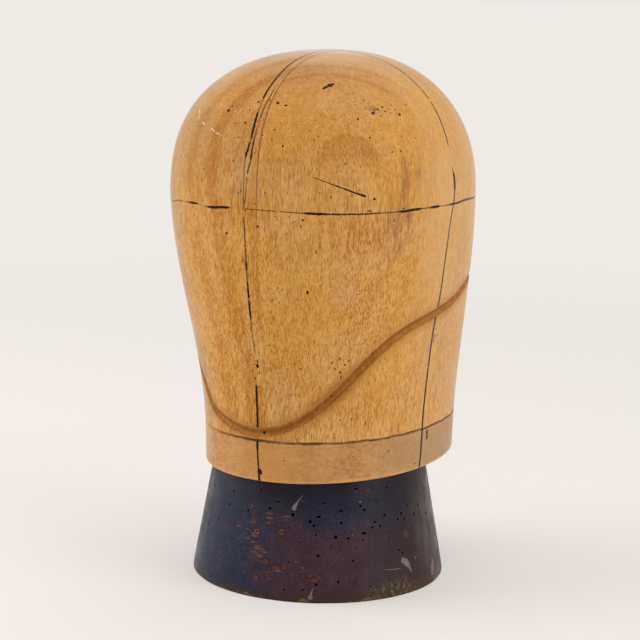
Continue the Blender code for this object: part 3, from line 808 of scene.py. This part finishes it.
def make_boards():
    rows = [[Vector((0.0, PLATE_SHIFT, BLOCK_BOTTOM))]]
    across = [FAR_BELOW_GROOVE]
    for row in zip(*block_columns()):
        rows.append([point for point, _ in row])
        across += [off for _, off in row]
    rows.append([block_point(BLOCK_TOP, 0.0)])
    across.append(FAR_ABOVE_GROOVE)
    whole = skinned(rows)
    layer = whole.verts.layers.float.new("across_groove")
    for vert, off in zip(whole.verts, across):
        vert[layer] = off
    boards = []
    for name, side in (("wide_board", -1), ("narrow_board", 1)):
        bm = whole.copy()
        face = Vector((GLUE_OFFSET + side * GLUE_GAP / 2, 0.0, 0.0))
        everything = [*bm.verts, *bm.edges, *bm.faces]
        bmesh.ops.bisect_plane(
            bm, geom=everything, plane_co=face, plane_no=(side, 0, 0), clear_inner=True, dist=0.000001
        )
        rim = [edge for edge in bm.edges if edge.is_boundary]
        bmesh.ops.holes_fill(bm, edges=rim, sides=0)
        board = new_object(name, bm)
        tools = [block_marks(side, random.Random(BLOCK_SEED)), cylinder(BORE_RADIUS, PLATE_BOTTOM, BORE_TOP)]
        for spot in SCREW_PLACES:
            if spot[0] * side > 0:
                tools.append(cylinder(SCREW_HOLE_RADIUS, PLATE_BOTTOM, SCREW_HOLE_TOP, spot, SCREW_SIDES))
        boards.append((board, tools))
    whole.free()
    return boards


def make_plate():
    levels = []
    for i in range(PLATE_EDGE_STEPS + 1):
        turn = math.pi / 2 * i / PLATE_EDGE_STEPS
        inset = PLATE_ROUNDING * (1 - math.cos(turn))
        levels.append((PLATE_BOTTOM + PLATE_ROUNDING * (1 - math.sin(turn)), inset))
    levels.sort()
    upright = PLATE_TOP - PLATE_BOTTOM - PLATE_ROUNDING - PLATE_TOP_EDGE
    for i in range(1, PLATE_ROWS + 1):
        levels.append((PLATE_BOTTOM + PLATE_ROUNDING + upright * i / PLATE_ROWS, 0.0))
    levels.append((PLATE_TOP, PLATE_TOP_EDGE))
    rows = [[Vector((0.0, PLATE_SHIFT, PLATE_BOTTOM))]]
    for height, inset in levels:
        row = []
        for angle in around(COLUMNS):
            point = plate_point(height, angle, inset)
            row.append(point + outward(plate_point, height, angle) * unevenness(point))
        rows.append(row)
    rows.append([Vector((0.0, PLATE_SHIFT, PLATE_TOP))])
    plate = new_object("plate", skinned(rows))
    draw = random.Random(PLATE_SEED)
    bm = bmesh.new()
    for mark in PLATE_DOTS:
        add_pit(bm, plate_point, mark, PIT_LAYERS, draw)
    for stroke in PLATE_STROKES:
        add_stroke(bm, plate_point, stroke, draw)
    below, above = PLATE_BOTTOM - TOOL_PAST, PLATE_TOP + TOOL_PAST
    tools = [new_object("tool", bm), cylinder(BORE_RADIUS, below, above)]
    for spot in SCREW_PLACES:
        tools.append(cylinder(SCREW_HOLE_RADIUS, below, above, spot, SCREW_SIDES))
        tools.append(cylinder(SCREW_HEAD_HOLE_RADIUS, below, SCREW_HEAD_HOLE_TOP, spot, SCREW_HEAD_SIDES))
    return plate, tools


def make_stand():
    levels = list(STAND_FOOT_EDGE)
    for i in range(STAND_ROWS):
        upright = STAND_HEIGHT - 2 * STAND_ROUNDING
        levels.append((STAND_ROUNDING + upright * i / (STAND_ROWS - 1), 0.0))
    levels += [(STAND_HEIGHT - below, inset) for below, inset in STAND_TOP_EDGE]
    rows = [[Vector((0.0, 0.0, 0.0))]]
    for height, inset in levels:
        row = []
        for angle in around(STAND_COLUMNS):
            point = stand_point(height, angle, inset)
            turned_mark = TURNING_DEPTH * math.sin(height * TURNING_FINENESS)
            chipped = max(0.0, noise.noise(point * CHIP_FINENESS + CHIP_OFFSET))
            worn = max(0.0, 1 - height / CHIP_HEIGHT) * CHIP_DEPTH * chipped
            outside = Vector((point.x, point.y, 0.0)).normalized()
            row.append(point + outside * (unevenness(point) + turned_mark - worn))
        rows.append(row)
    for radius, height in STAND_TOP_RINGS:
        ring = [Vector((radius * math.sin(a), -radius * math.cos(a), height)) for a in around(STAND_COLUMNS)]
        rows.append(ring)
    rows.append([Vector((0.0, 0.0, SOCKET_FLOOR))])
    stand = new_object("painted_stand", skinned(rows))

    draw = random.Random(STAND_SEED)
    bm = bmesh.new()
    for mark in RIMMED_HOLES:
        add_pit(bm, stand_point, mark, RIMMED_LAYERS, draw)
    for degrees, up, width, tall in PLAIN_HOLES:
        mark = (degrees, up, width * PLAIN_HOLE_SCALE, tall * PLAIN_HOLE_SCALE)
        add_pit(bm, stand_point, mark, PLAIN_LAYERS, draw)
    places = hidden_places(HIDDEN_HOLES + HIDDEN_SCRAPES, HIDDEN_STAND_LEVELS, STAND_MARKS_APART, draw)
    for degrees, up in places[:HIDDEN_HOLES]:
        size = draw.uniform(*HIDDEN_HOLE_SIZE)
        layers = RIMMED_LAYERS if draw.random() < RIMMED_SHARE else PLAIN_LAYERS
        add_pit(bm, stand_point, (degrees, up, size, size * draw.uniform(*HIDDEN_HOLE_TALL)), layers, draw)
    strokes = list(STAND_STROKES)
    for degrees, up in places[HIDDEN_HOLES:]:
        end = (degrees + draw.uniform(*SCRAPE_DEGREES), up + draw.uniform(*SCRAPE_RISE))
        strokes.append((PALE, ((degrees, up), end), SCRAPE_WIDTHS))
    for stroke in strokes:
        add_stroke(bm, stand_point, stroke, draw)
    return stand, [new_object("tool", bm)]


SHADER_INPUTS = {
    "roughness": "Roughness",
    "metallic": "Metallic",
    "level": "Specular IOR Level",
    "sheen": "Sheen Weight",
    "sheen_roughness": "Sheen Roughness",
}


class Nodes:
    """Builds nodes in one tree."""

    def __init__(self, tree):
        self.tree = tree

    def node(self, kind, inputs=None, **settings):
        made = self.tree.nodes.new(kind)
        for name, value in settings.items():
            setattr(made, name, value)
        for name, value in (inputs or {}).items():
            self.feed(made.inputs[name], value)
        return made

    def feed(self, socket, value):
        if isinstance(value, bpy.types.NodeSocket):
            self.tree.links.new(value, socket)
        elif isinstance(value, tuple) and socket.type == "RGBA":
            socket.default_value = (*value[:3], 1.0)
        else:
            socket.default_value = value

    def math(self, operation, first, second=0.0, third=0.0):
        return self.node("ShaderNodeMath", {0: first, 1: second, 2: third}, operation=operation).outputs[0]

    def times(self, *values):
        product = values[0]
        for value in values[1:]:
            product = self.math("MULTIPLY", product, value)
        return product

    def minus(self, first, second):
        return self.math("SUBTRACT", first, second)

    def linear(self, value, factor, plus):
        return self.math("MULTIPLY_ADD", value, factor, plus)

    def largest(self, *values):
        most = values[0]
        for value in values[1:]:
            most = self.math("MAXIMUM", most, value)
        return most

    def span(self, value, low, high, out_low=0.0, out_high=1.0, kind="SMOOTHSTEP"):
        inputs = {"Value": value, "From Min": low, "From Max": high, "To Min": out_low, "To Max": out_high}
        return self.node("ShaderNodeMapRange", inputs, interpolation_type=kind).outputs["Result"]

    def fade(self, value, low, high, out_high=0.0):
        """One below the span, and less above it."""
        return self.span(value, low, high, 1.0, out_high)


class Paint(Nodes):
    """Builds one material, coat over coat, in the object's own metres."""

    def __init__(self, name, surface=None):
        self.material = bpy.data.materials.new(name)
        self.material.use_nodes = True
        super().__init__(self.material.node_tree)
        self.shader = self.tree.nodes["Principled BSDF"]
        self.surface = surface
        self.colour = None
        self.place = self.node("ShaderNodeTexCoord").outputs["Object"]
        apart = self.node("ShaderNodeSeparateXYZ", {"Vector": self.place})
        self.x, self.y, self.z = apart.outputs

    def vector(self, operation, first, second=(0, 0, 0), output="Vector"):
        return self.node("ShaderNodeVectorMath", {0: first, 1: second}, operation=operation).outputs[output]

    def length(self, vector):
        return self.vector("LENGTH", vector, output="Value")

    def heading(self):
        """The compass direction from the middle, in degrees from the back towards the right side."""
        return self.times(self.math("ARCTAN2", self.x, self.times(self.y, -1)), 180 / math.pi)

    def noise(self, scale, detail=2.0, roughness=0.5, stretch=(1, 1, 1), seed=0.0, distortion=0.0):
        at = self.vector("MULTIPLY", self.place, stretch)
        at = self.vector("ADD", at, (seed, seed * 0.7, seed * 1.3))
        inputs = {"Vector": at, "Scale": scale, "Detail": detail, "Roughness": roughness}
        inputs["Distortion"] = distortion
        return self.node("ShaderNodeTexNoise", inputs).outputs["Fac"]

    def curve(self, value, points):
        """A curve of the value through the points."""
        left, right = points[0][0], points[-1][0]
        heights = [height for _, height in points]
        low, reach = min(heights), max(heights) - min(heights)
        made = self.node("ShaderNodeFloatCurve", {"Value": self.span(value, left, right, kind="LINEAR")})
        line = made.mapping.curves[0]
        line.points[0].location = (0.0, (heights[0] - low) / reach)
        line.points[1].location = (1.0, (heights[-1] - low) / reach)
        for spot, height in points[1:-1]:
            line.points.new((spot - left) / (right - left), (height - low) / reach)
        for point in line.points:
            point.handle_type = "AUTO_CLAMPED"
        made.mapping.update()
        return self.linear(made.outputs[0], reach, low)

    def mix(self, share, first, second, mode="MIX"):
        inputs = {0: share, 6: first, 7: second}
        return self.node("ShaderNodeMix", inputs, data_type="RGBA", blend_type=mode).outputs[2]

    def coat(self, colour, *shares, mode="MIX"):
        """Lays a colour over what is there, as strong as the shares' product."""
        self.colour = self.mix(self.times(*shares), self.colour, colour, mode)

    def spot(self, degrees, up, reach, edge=1.0, stretch=(1, 1, 1)):
        """One at a place of the surface, and nothing beyond the reach, both in millimetres."""
        middle = tuple(surface_point(self.surface, degrees, up))
        at = self.vector("MULTIPLY", self.vector("SUBTRACT", self.place, middle), stretch)
        reach = reach / 1000
        return self.fade(self.length(at), reach * (1 - edge), reach)

    def bump(self, height, strength, distance):
        made = self.node("ShaderNodeBump", {"Height": height, "Strength": strength, "Distance": distance})
        self.tree.links.new(made.outputs["Normal"], self.shader.inputs["Normal"])

    def finish(self, **inputs):
        """Gives the shader its colour and the named values."""
        self.feed(self.shader.inputs["Base Color"], self.colour)
        for name, value in inputs.items():
            self.feed(self.shader.inputs[SHADER_INPUTS[name]], value)
        return self.material


def polar(stations, level):
    """Stations by the degrees of the surface turned into stations by the compass direction."""
    turned = []
    for degrees, value in stations:
        point = block_point(level, math.radians(degrees))
        heading = math.degrees(math.atan2(point.x, -point.y))
        turned.append((degrees if abs(degrees) == 180 else heading, value))
    return turned


def draw_lines(paint, clear, round_line=True):
    """The drawn lines: brown where the pen was dry, black where it was full. All are in millimetres."""
    right, front, up = (paint.times(way, 1000) for way in (paint.x, paint.y, paint.z))
    ragged = paint.linear(paint.noise(1100, 3, 0.8, seed=81), 1.5, -0.75)
    gaps = paint.noise(190, 2, 0.6, stretch=(1, 1, 0.8), seed=83)
    inked = []
    black = []

    def pen(place, line, weight, broad=1.0):
        half = paint.linear(weight, 0.52 * broad, 0.25 * broad)
        off = paint.math("ADD", paint.math("ABSOLUTE", paint.minus(place, line)), ragged)
        kept = paint.span(paint.linear(weight, 0.35, gaps), 0.40, 0.48)
        body = paint.fade(paint.minus(off, half), -0.12, 0.12)
        body = paint.times(body, kept, paint.span(weight, 0.01, 0.06))
        inked.append(body)
        black.append(paint.times(body, paint.span(weight, 0.12, 0.48, 0.25, 1.0)))

    worn = paint.span(paint.noise(24, 2, 0.6, seed=85), 0.40, 0.60, 0.05, 0.55)
    weight = paint.mix(paint.span(front, 5, 20), paint.curve(up, BACK_INK), worn)
    pen(right, paint.curve(up, BACK_LINE), weight)
    weight = paint.mix(paint.span(right, -20, -5), worn, paint.curve(up, SIDE_INK))
    pen(front, paint.curve(up, SIDE_LINE), weight, 1.75)
    if round_line:
        heading = paint.heading()
        pen(up, *(paint.curve(heading, polar(stations, WIDEST_LEVEL)) for stations in (SIZE_LINE, SIZE_INK)))
        weight = paint.times(paint.curve(up, SECOND_INK), paint.fade(front, -20, 0))
        pen(right, paint.curve(up, SECOND_LINE), weight)
    paint.coat(INK_BROWN, paint.largest(*inked), clear, 0.72)
    paint.coat(INK_BLACK, paint.largest(*black), clear)


def finish_wood(paint, flecks, roughness, sheen):
    """Satin wood with a faint bloom towards its outline, fine grain and sunken flecks."""
    rough = paint.span(paint.noise(60, 3, 0.6, seed=21), 0.3, 0.7, roughness - 0.06, roughness + 0.1)
    grain = paint.noise(420, 3, 0.6, stretch=(1, 1, 0.08), seed=23)
    paint.bump(paint.minus(paint.times(grain, 0.6), flecks), 0.25, 0.0002)
    return paint.finish(roughness=rough, level=0.06, sheen=sheen, sheen_roughness=0.3)


def board_wood(name):
    """Fine-pored honey-coloured wood: growth rings about a far pith, mottle, flecks, stains and ink."""
    board = BOARDS[name]
    paint = Paint(f"{name}_wood", block_point)

    def pattern(kind):
        scale, detail, roughness, tall, seed = WOOD_PATTERNS[kind]
        return paint.noise(scale, detail, roughness, stretch=(1, 1, tall), seed=board["seed"] + seed)

    raised = paint.minus(paint.math("MAXIMUM", paint.z, WAIST), PITH_LEVEL)
    off_x, off_y = (
        paint.minus(way, paint.linear(raised, lean, pith))
        for way, lean, pith in zip((paint.x, paint.y), board["lean"], board["pith"])
    )
    far = paint.math("SQRT", paint.math("ADD", paint.times(off_x, off_x), paint.times(off_y, off_y)))
    warp = paint.minus(pattern("warp"), 0.5)
    ring = paint.linear(warp, 5.0, paint.times(far, 1000))
    on_crown = paint.span(paint.z, 0.215, 0.245)
    kept = board["rings_below_crown"]
    band = paint.times(paint.curve(ring, board["rings"]), paint.linear(on_crown, 1 - kept, kept))
    if name == "narrow_board":
        core = tuple(surface_point(block_point, *CORE_PLACE))
        off_core = paint.times(paint.length(paint.vector("SUBTRACT", paint.place, core)), 1000)
        off_core = paint.linear(warp, 4.0, off_core)
        arc = paint.times(paint.curve(off_core, CORE_RING), paint.span(paint.z, 0.243, 0.256))
        band = paint.math("MAXIMUM", paint.times(band, paint.fade(paint.x, 0.050, 0.066, 0.5)), arc)

    # The tone between gold and brown: rings, clouds, mottle, and fine upright grain, calmer on the crown
    mottle, streak, grain, cloud = (pattern(kind) for kind in ("mottle", "streak", "grain", "cloud"))
    calm = paint.linear(on_crown, -0.35, 1.0)
    tone = paint.linear(band, 0.64, 0.14)
    for kind, strength in ((mottle, 1.9), (streak, 1.5), (grain, 2.4), (cloud, 0.6)):
        tone = paint.linear(paint.times(paint.minus(kind, 0.5), strength), calm, tone)
    drip = paint.spot(41, 211, 40, stretch=(1, 1, 1.8))
    tone = paint.math("ADD", tone, paint.times(drip, paint.span(pattern("hung"), 0.38, 0.60), 0.42))
    # Browner and lighter areas; the lighter one high on the crown at the right is a painted highlight
    for degrees, up, reach, browner in TONES_AND_PAINTED_HIGHLIGHT:
        tone = paint.linear(paint.spot(degrees, up, reach), browner, tone)
    golden = paint.span(pattern("golden"), 0.38, 0.62, 0.2, 0.95)
    light = paint.mix(golden, WOOD_LIGHT, WOOD_GOLD)
    paint.colour = paint.mix(paint.span(tone, 0.0, 1.0, kind="LINEAR"), light, WOOD_DEEP)

    # A pale wiped spot, duller wood at the left, painted shade in spots at the left and on the crown,
    # a waxed spot and a smudge
    wiped = paint.spot(39.5, 177, 14, 0.9, (1, 1, 1.2))
    paint.coat(WOOD_WIPED, wiped, paint.span(mottle, 0.42, 0.56), 0.55)
    turned = paint.math("ARCTAN2", paint.math("ABSOLUTE", paint.x), paint.math("ABSOLUTE", paint.y))
    at_left = paint.span(turned, math.radians(15), math.radians(33))
    paint.coat(LEFT_TINT, at_left, paint.span(paint.x, 0.0, -0.01), mode="MULTIPLY")
    # Painted shade: darker spots at the left and on the crown
    for degrees, up, reach in PAINTED_SHADE_SPOTS:
        paint.coat(PAINTED_SHADE_TINT, paint.spot(degrees, up, reach), mode="MULTIPLY")
    paint.coat(WOOD_WAXED, paint.spot(-0.5, 243, 21, stretch=(1.7, 1, 0.9)), 0.45)
    paint.coat(WOOD_SMUDGE, paint.spot(52, 278, 5, 0.9), paint.span(mottle, 0.40, 0.55), 0.75)

    # The sides are lighter, partly rubbed wear and partly painted sheen, and smoother
    low, full, fading, gone = board["rub_and_sheen_levels"]
    start, end = board["rub_and_sheen_degrees"]
    side = paint.span(turned, math.radians(start), math.radians(end))
    side = paint.times(side, paint.span(paint.z, low, full, 0.35, 1.0))
    side = paint.times(side, paint.fade(paint.z, fading, gone, 0.15))
    paint.coat(board["rub_and_sheen_colour"], side, board["rub_and_sheen_strength"])
    for degrees, up, wide, tall, strength in BRUISES:
        bruise = paint.spot(degrees, up, wide, stretch=(1, 1, wide / tall))
        paint.coat(WOOD_BRUISE, bruise, paint.span(streak, 0.40, 0.58, 0.25, 1.0), strength)

    # Pores: thin upright flecks in crowds, few on the rubbed sides and on the crown, and dark specks
    crowd = paint.span(pattern("crowd"), 0.34, 0.66, 0.60, 0.49)
    bare = paint.linear(side, -0.55, 1.0)
    flecks = paint.span(paint.minus(pattern("pores"), crowd), 0.0, 0.12)
    flecks = paint.times(flecks, bare, paint.span(paint.z, 0.17, 0.28, 0.66, 0.50))
    paint.coat(WOOD_FLECK, flecks)
    paint.coat(WOOD_SPECK, paint.span(pattern("specks"), 0.735, 0.775), bare, 0.9)

    # The groove is browner inside, with painted shade darkest in its middle and along its upper edge,
    # and browner beside it
    across = paint.node("ShaderNodeAttribute", attribute_name="across_groove").outputs["Fac"]
    off_middle = paint.math("ABSOLUTE", across)
    inside = paint.fade(off_middle, 0.62, 0.98)
    # Browner wood inside, with painted shade darkest towards the middle
    brown = paint.mix(paint.fade(off_middle, 0.0, 0.60), GROOVE_WALL, GROOVE_SHADED_MIDDLE)
    brown = paint.mix(paint.times(paint.span(mottle, 0.42, 0.64), 0.55), brown, GROOVE_MOTTLE)
    browner_beside = paint.linear(paint.spot(37, 122, 30), 0.45, 0.40)
    paint.coat(GROOVE_BESIDE_BROWN, paint.fade(off_middle, 0.8, 2.6), browner_beside)
    paint.coat(brown, inside, 0.92)
    # Painted shade along the upper edge
    paint.coat(GROOVE_LIP_SHADE, paint.span(across, 0.45, 0.74), paint.fade(across, 0.80, 0.90), 0.15)

    # The joint with the plate is darker, and the glue line shows on the crown
    joint = paint.fade(paint.z, BLOCK_BOTTOM + 0.0004, BLOCK_BOTTOM + 0.0009)
    paint.coat(BLOCK_JOINT_DARK, joint, paint.span(cloud, 0.40, 0.55, 0.3, 0.9), fainter_at_left(paint))
    off_glue = paint.math("ABSOLUTE", paint.minus(paint.x, GLUE_OFFSET))
    paint.coat(GLUE_LINE, paint.fade(off_glue, 0.0002, 0.0005), paint.span(paint.z, 0.20, 0.25), 0.85)

    draw_lines(paint, paint.minus(1.0, inside))
    return finish_wood(paint, flecks, roughness=0.44, sheen=0.6)


def fainter_at_left(paint):
    """The joint between block and plate is hardly darker at the left."""
    return paint.span(paint.x, -0.055, 0.0, 0.1, 1.0)


def plate_wood():
    """Paler wood with figure and scratches, a lower rim worn by rubbing and a darker band along the joint
    above.
    """
    paint = Paint("plate_maple", plate_point)
    mottle = paint.noise(160, 4, 0.9, seed=32)
    grain = paint.noise(90, 4, 0.8, stretch=(0.15, 1, 1), seed=31)
    blotch = paint.noise(26, 3, 0.6, seed=33)
    scratch = paint.noise(700, 2, 0.7, stretch=(0.5, 0.5, 1.6), seed=36)
    curl = paint.math("SINE", paint.times(paint.noise(19, 1, 0.5, seed=34, distortion=1.5), 60))
    tone = paint.linear(paint.span(curl, 0.6, 1.0), 0.18, 0.36)
    for pattern, strength in ((mottle, 1.5), (grain, 1.2), (blotch, 1.3), (scratch, 1.6)):
        tone = paint.linear(paint.minus(pattern, 0.5), strength, tone)
    paint.colour = paint.mix(tone, PLATE_LIGHT, PLATE_DEEP)
    paint.coat(PLATE_RIGHT, paint.span(paint.x, 0.050, 0.068), 0.6)
    paint.coat(PLATE_WARM, paint.spot(6, 80, 36), 0.6)
    paint.coat(PLATE_LEFT, paint.span(paint.x, -0.064, -0.036, 0.65, 0.0))
    low = paint.linear(paint.noise(150, 2, seed=35), 0.003, paint.z)
    paint.coat(PLATE_RIM, paint.fade(low, PLATE_BOTTOM + 0.0022, PLATE_BOTTOM + 0.0040), 0.55)
    joint = paint.span(paint.z, PLATE_TOP - 0.0010, PLATE_TOP - 0.0004)
    paint.coat(PLATE_JOINT_DARK, joint, paint.span(mottle, 0.40, 0.60, 0.3, 0.9), fainter_at_left(paint))
    draw_lines(paint, 1.0, round_line=False)
    return finish_wood(paint, 0.0, roughness=0.42, sheen=0.3)


def stand_paint():
    """Dark blue paint turned purple in places, with fine dirt, scuffs and a bare lower edge."""
    paint = Paint("old_blue_paint", stand_point)
    heading = paint.heading()

    # Blue where the colour has held, and purple where it has turned
    patch = paint.noise(40, 4, 0.65, seed=41, distortion=0.4)
    turned = paint.linear(patch, 40, heading)
    past_left = paint.span(turned, -135, -95)
    held = paint.times(paint.fade(turned, 6, 40), past_left)
    level = paint.linear(patch, 0.040, paint.z)
    upper = paint.times(paint.span(level, 0.056, 0.074), paint.fade(turned, 92, 112), past_left)
    paint.colour = paint.mix(paint.math("MAXIMUM", held, upper), PAINT_PURPLE, PAINT_BLUE)
    grime = paint.noise(90, 4, 0.75, seed=43)
    streak = paint.noise(160, 3, 0.7, stretch=(1, 1, 0.15), seed=44)
    speck = paint.noise(900, 2, 0.8, seed=42)
    paint.coat(STAND_OLIVE, paint.spot(5, 50, 9, stretch=(1, 1, 0.8)), paint.span(grime, 0.42, 0.58), 0.6)
    teal = paint.spot(44, 49.5, 9, stretch=(1.6, 1.6, 0.7))
    paint.coat(STAND_TEAL, teal, paint.span(streak, 0.42, 0.58), 0.5)
    paint.coat(STAND_DUST, paint.spot(0, 20, 15), paint.span(grime, 0.38, 0.58, 0.3, 1.0), 0.45)

    # Fine dirt: dark and pale specks all over
    paint.coat(STAND_PALE_SPECK, paint.span(speck, 0.50, 0.72), 0.24)
    paint.coat(STAND_DARK_SPECK, paint.span(speck, 0.48, 0.32), 0.48)
    paint.coat(STAND_GRIME, paint.span(grime, 0.52, 0.66), 0.30)
    paint.coat(STAND_SOOT, paint.span(grime, 0.48, 0.34), paint.span(streak, 0.60, 0.40, 0.4, 1.0), 0.38)
    paint.coat(STAND_BROWNED, paint.spot(-52, 50, 26), paint.span(grime, 0.36, 0.56, 0.4, 1.0), 0.55)

    # Rubbed through to brown round the crowd of worm holes
    fine = paint.span(paint.noise(330, 3, 0.8, stretch=(0.6, 0.6, 1.5), seed=46), 0.40, 0.56, 0.2, 1.0)
    for degrees, up, wide in SMEARS:
        paint.coat(STAND_SMEAR, paint.spot(degrees, up, wide, 0.8, (1, 1, 4.5)), fine, 0.85)

    # Scuffed grey-brown low down and at the right, as if it stood in the damp
    damp = paint.math("MAXIMUM", paint.spot(70, 4, 34, 0.9), paint.spot(100, 26, 36, 0.8))
    paint.coat(STAND_DAMP, damp, paint.span(streak, 0.34, 0.62, 0.25, 0.8))
    paint.coat(STAND_BROWN, paint.spot(79, 34, 14, 0.9, (1.6, 1.6, 0.7)), paint.span(streak, 0.40, 0.60), 0.7)
    paint.coat(STAND_DAB, paint.spot(75, 33.5, 3.4, 0.9), 0.5)
    # Lighter and streaky towards the right edge: partly worn paint, partly a painted reflection
    wiped = paint.spot(98, 36, 28, 0.8, (1, 1, 0.6))
    paint.coat(STAND_WEAR_AND_REFLECTION, wiped, paint.span(streak, 0.40, 0.60, 0.1, 0.9))

    # Painted shade under the plate and over the right side, and a dark foot with a few bare places and crumbs
    # of old clay
    shaded = paint.times(paint.span(heading, -30, 0, 0.25, 1.0), paint.fade(heading, 120, 170, 0.25))
    paint.coat(STAND_SHADE, paint.span(paint.z, 0.038, 0.066, 0.0, 0.58), shaded)
    # Painted shade over the right side
    paint.coat(STAND_RIGHT_SHADE, paint.span(heading, 42, 66, 0.0, 0.5), paint.fade(heading, 105, 160))
    ragged = paint.linear(paint.noise(75, 4, 0.75, seed=45), -0.0150, paint.z)
    away = (paint.span(heading, -10, 60, 0.0045, 0.0), paint.span(heading, 110, 165, 0.0, 0.0045))
    foot = paint.math("ADD", ragged, paint.math("MAXIMUM", *away))
    paint.coat(STAND_FOOT, paint.span(foot, -0.0050, 0.0045, 0.95, 0.0))
    paint.coat(STAND_WORN, paint.fade(ragged, -0.0079, -0.0068), 0.75)
    crumbs = paint.span(paint.noise(640, 4, 0.85, stretch=(1, 1, 0.6), seed=48), 0.49, 0.60)
    crumbs = paint.times(paint.spot(66, 2, 27, 0.8), crumbs, paint.fade(paint.z, 0.004, 0.012, 0.1))
    paint.coat(STAND_CLAY, crumbs, 0.66)
    paint.coat(STAND_EDGE, paint.span(paint.z, 0.0004, 0.0012, 0.85, 0.0))
    paint.bump(paint.noise(420, 3, 0.7, seed=49), 0.3, 0.0002)
    rough = paint.span(paint.noise(70, 3, 0.6, seed=47), 0.35, 0.65, 0.30, 0.46)
    return paint.finish(roughness=rough, level=0.18)


def dowel_wood():
    paint = Paint("dowel")
    grain = paint.noise(420, 3, 0.6, stretch=(1, 1, 0.04), seed=51)
    paint.colour = paint.mix(paint.span(grain, 0.4, 0.65), DOWEL_LIGHT, DOWEL_DEEP)
    return finish_wood(paint, paint.times(grain, 0.2), roughness=0.5, sheen=0.3)


def screw_steel():
    paint = Paint("screw_steel")
    spots = paint.noise(900, 3, 0.6, seed=61)
    paint.colour = paint.mix(paint.span(spots, 0.5, 0.7), STEEL, RUST)
    paint.bump(spots, 0.2, 0.0001)
    return paint.finish(metallic=1.0, roughness=paint.span(spots, 0.4, 0.7, 0.34, 0.6))


def mark_paint(name, colour, darker, roughness):
    """The finish inside a mark, uneven at the scale of a pencil point."""
    paint = Paint(name)
    spots = paint.noise(1200, 2, 0.7, seed=71)
    paint.colour = paint.mix(paint.span(spots, 0.38, 0.62), colour, darker)
    return paint.finish(roughness=roughness, level=0.12)


def make_floor():
    """A pale floor that turns into the backdrop's own colour far out, for the eye alone."""
    bm = bmesh.new()
    bmesh.ops.create_grid(bm, x_segments=2, y_segments=2, size=FLOOR_SIZE)
    floor = new_object("floor", bm)
    paint = Paint("pale_floor")
    paint.colour = FLOOR_COLOUR
    paint.finish(roughness=0.9, level=0.1)
    glow = paint.node("ShaderNodeEmission", {"Color": FLOOR_GLOW, "Strength": 1.0})
    far = paint.span(paint.length(paint.place), 0.15, 1.6, 0.42, 1.0)
    rays = paint.node("ShaderNodeLightPath").outputs
    seen = paint.largest(rays["Is Camera Ray"], rays["Is Glossy Ray"], rays["Is Transmission Ray"])
    blend = paint.node(
        "ShaderNodeMixShader", {0: paint.times(far, seen), 1: paint.shader.outputs[0], 2: glow.outputs[0]}
    )
    paint.feed(paint.tree.nodes["Material Output"].inputs["Surface"], blend.outputs[0])
    floor.data.materials.append(paint.material)


def make_world():
    """Soft light from all round, and the backdrop's colour where the camera sees the world."""
    world = bpy.data.worlds.new("studio")
    bpy.context.scene.world = world
    world.use_nodes = True
    world.node_tree.nodes.clear()
    nodes = Nodes(world.node_tree)
    rays = nodes.node("ShaderNodeLightPath").outputs
    seen = nodes.math("MAXIMUM", rays["Is Camera Ray"], rays["Is Transmission Ray"])
    soft = nodes.node("ShaderNodeBackground", {"Color": WORLD_LIGHT, "Strength": WORLD_STRENGTH})
    shown = nodes.node("ShaderNodeBackground", {"Color": BACKDROP, "Strength": 1.0})
    blend = nodes.node("ShaderNodeMixShader", {0: seen, 1: soft.outputs[0], 2: shown.outputs[0]})
    nodes.node("ShaderNodeOutputWorld", {"Surface": blend.outputs[0]})


def make_lamps():
    for name, spot, width, height, power in LAMPS:
        data = bpy.data.lights.new(name, "AREA")
        data.shape = "RECTANGLE"
        data.size = width
        data.size_y = height
        data.energy = power
        lamp = bpy.data.objects.new(name, data)
        lamp.location = spot
        lamp.rotation_euler = (LIT_SPOT - Vector(spot)).to_track_quat("-Z", "Y").to_euler()
        bpy.context.scene.collection.objects.link(lamp)


def make_camera():
    """Looks as the photograph does, with its slight roll."""
    right = Vector((math.cos(HEADING), math.sin(HEADING), 0.0))
    level = Vector((-math.sin(HEADING), math.cos(HEADING), 0.0))
    forward = level * math.cos(PITCH) - Vector((0, 0, math.sin(PITCH)))
    up = level * math.sin(PITCH) + Vector((0, 0, math.cos(PITCH)))
    tilted = right * math.cos(ROLL) + up * math.sin(ROLL)
    up = up * math.cos(ROLL) - right * math.sin(ROLL)
    data = bpy.data.cameras.new("camera")
    data.lens = LENS
    data.sensor_width = SENSOR
    data.shift_x = SHIFT_X
    data.clip_end = 200
    camera = bpy.data.objects.new("camera", data)
    camera.matrix_world = Matrix.Translation(EYE) @ Matrix((tilted, up, -forward)).transposed().to_4x4()
    bpy.context.scene.collection.objects.link(camera)
    bpy.context.scene.camera = camera


def main():
    bpy.context.scene.view_settings.view_transform = "Standard"
    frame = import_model()
    make_camera()
    make_world()
    make_lamps()
    make_floor()

    marks = [mark_paint(*finish) for finish in MARK_FINISHES]
    wide, narrow = make_boards()
    pieces = (
        (*wide, board_wood("wide_board"), "block_wide_board", "block", "block_wood"),
        (*narrow, board_wood("narrow_board"), "block_narrow_board", "block", "block_wood"),
        (*make_plate(), plate_wood(), "base_plate", "block", "plate_wood"),
        (*make_stand(), stand_paint(), "stand", "stand", "stand_paint"),
    )
    scrape = mark_paint(*SCRAPE_FINISH)
    for piece, tools, material, node, body, slot in pieces:
        looks = [material, *marks]
        if node == "stand":
            looks[PALE] = scrape
        for item in (piece, *tools):
            for look in looks:
                item.data.materials.append(look)
        drill(piece, tools)
        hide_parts(node)
        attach(piece, body)
    frame["nodes"]["spindle"].data.materials[0] = dowel_wood()
    steel = screw_steel()
    for number in range(1, 5):
        frame["nodes"][f"plate_screw_{number}"].data.materials[0] = steel


main()
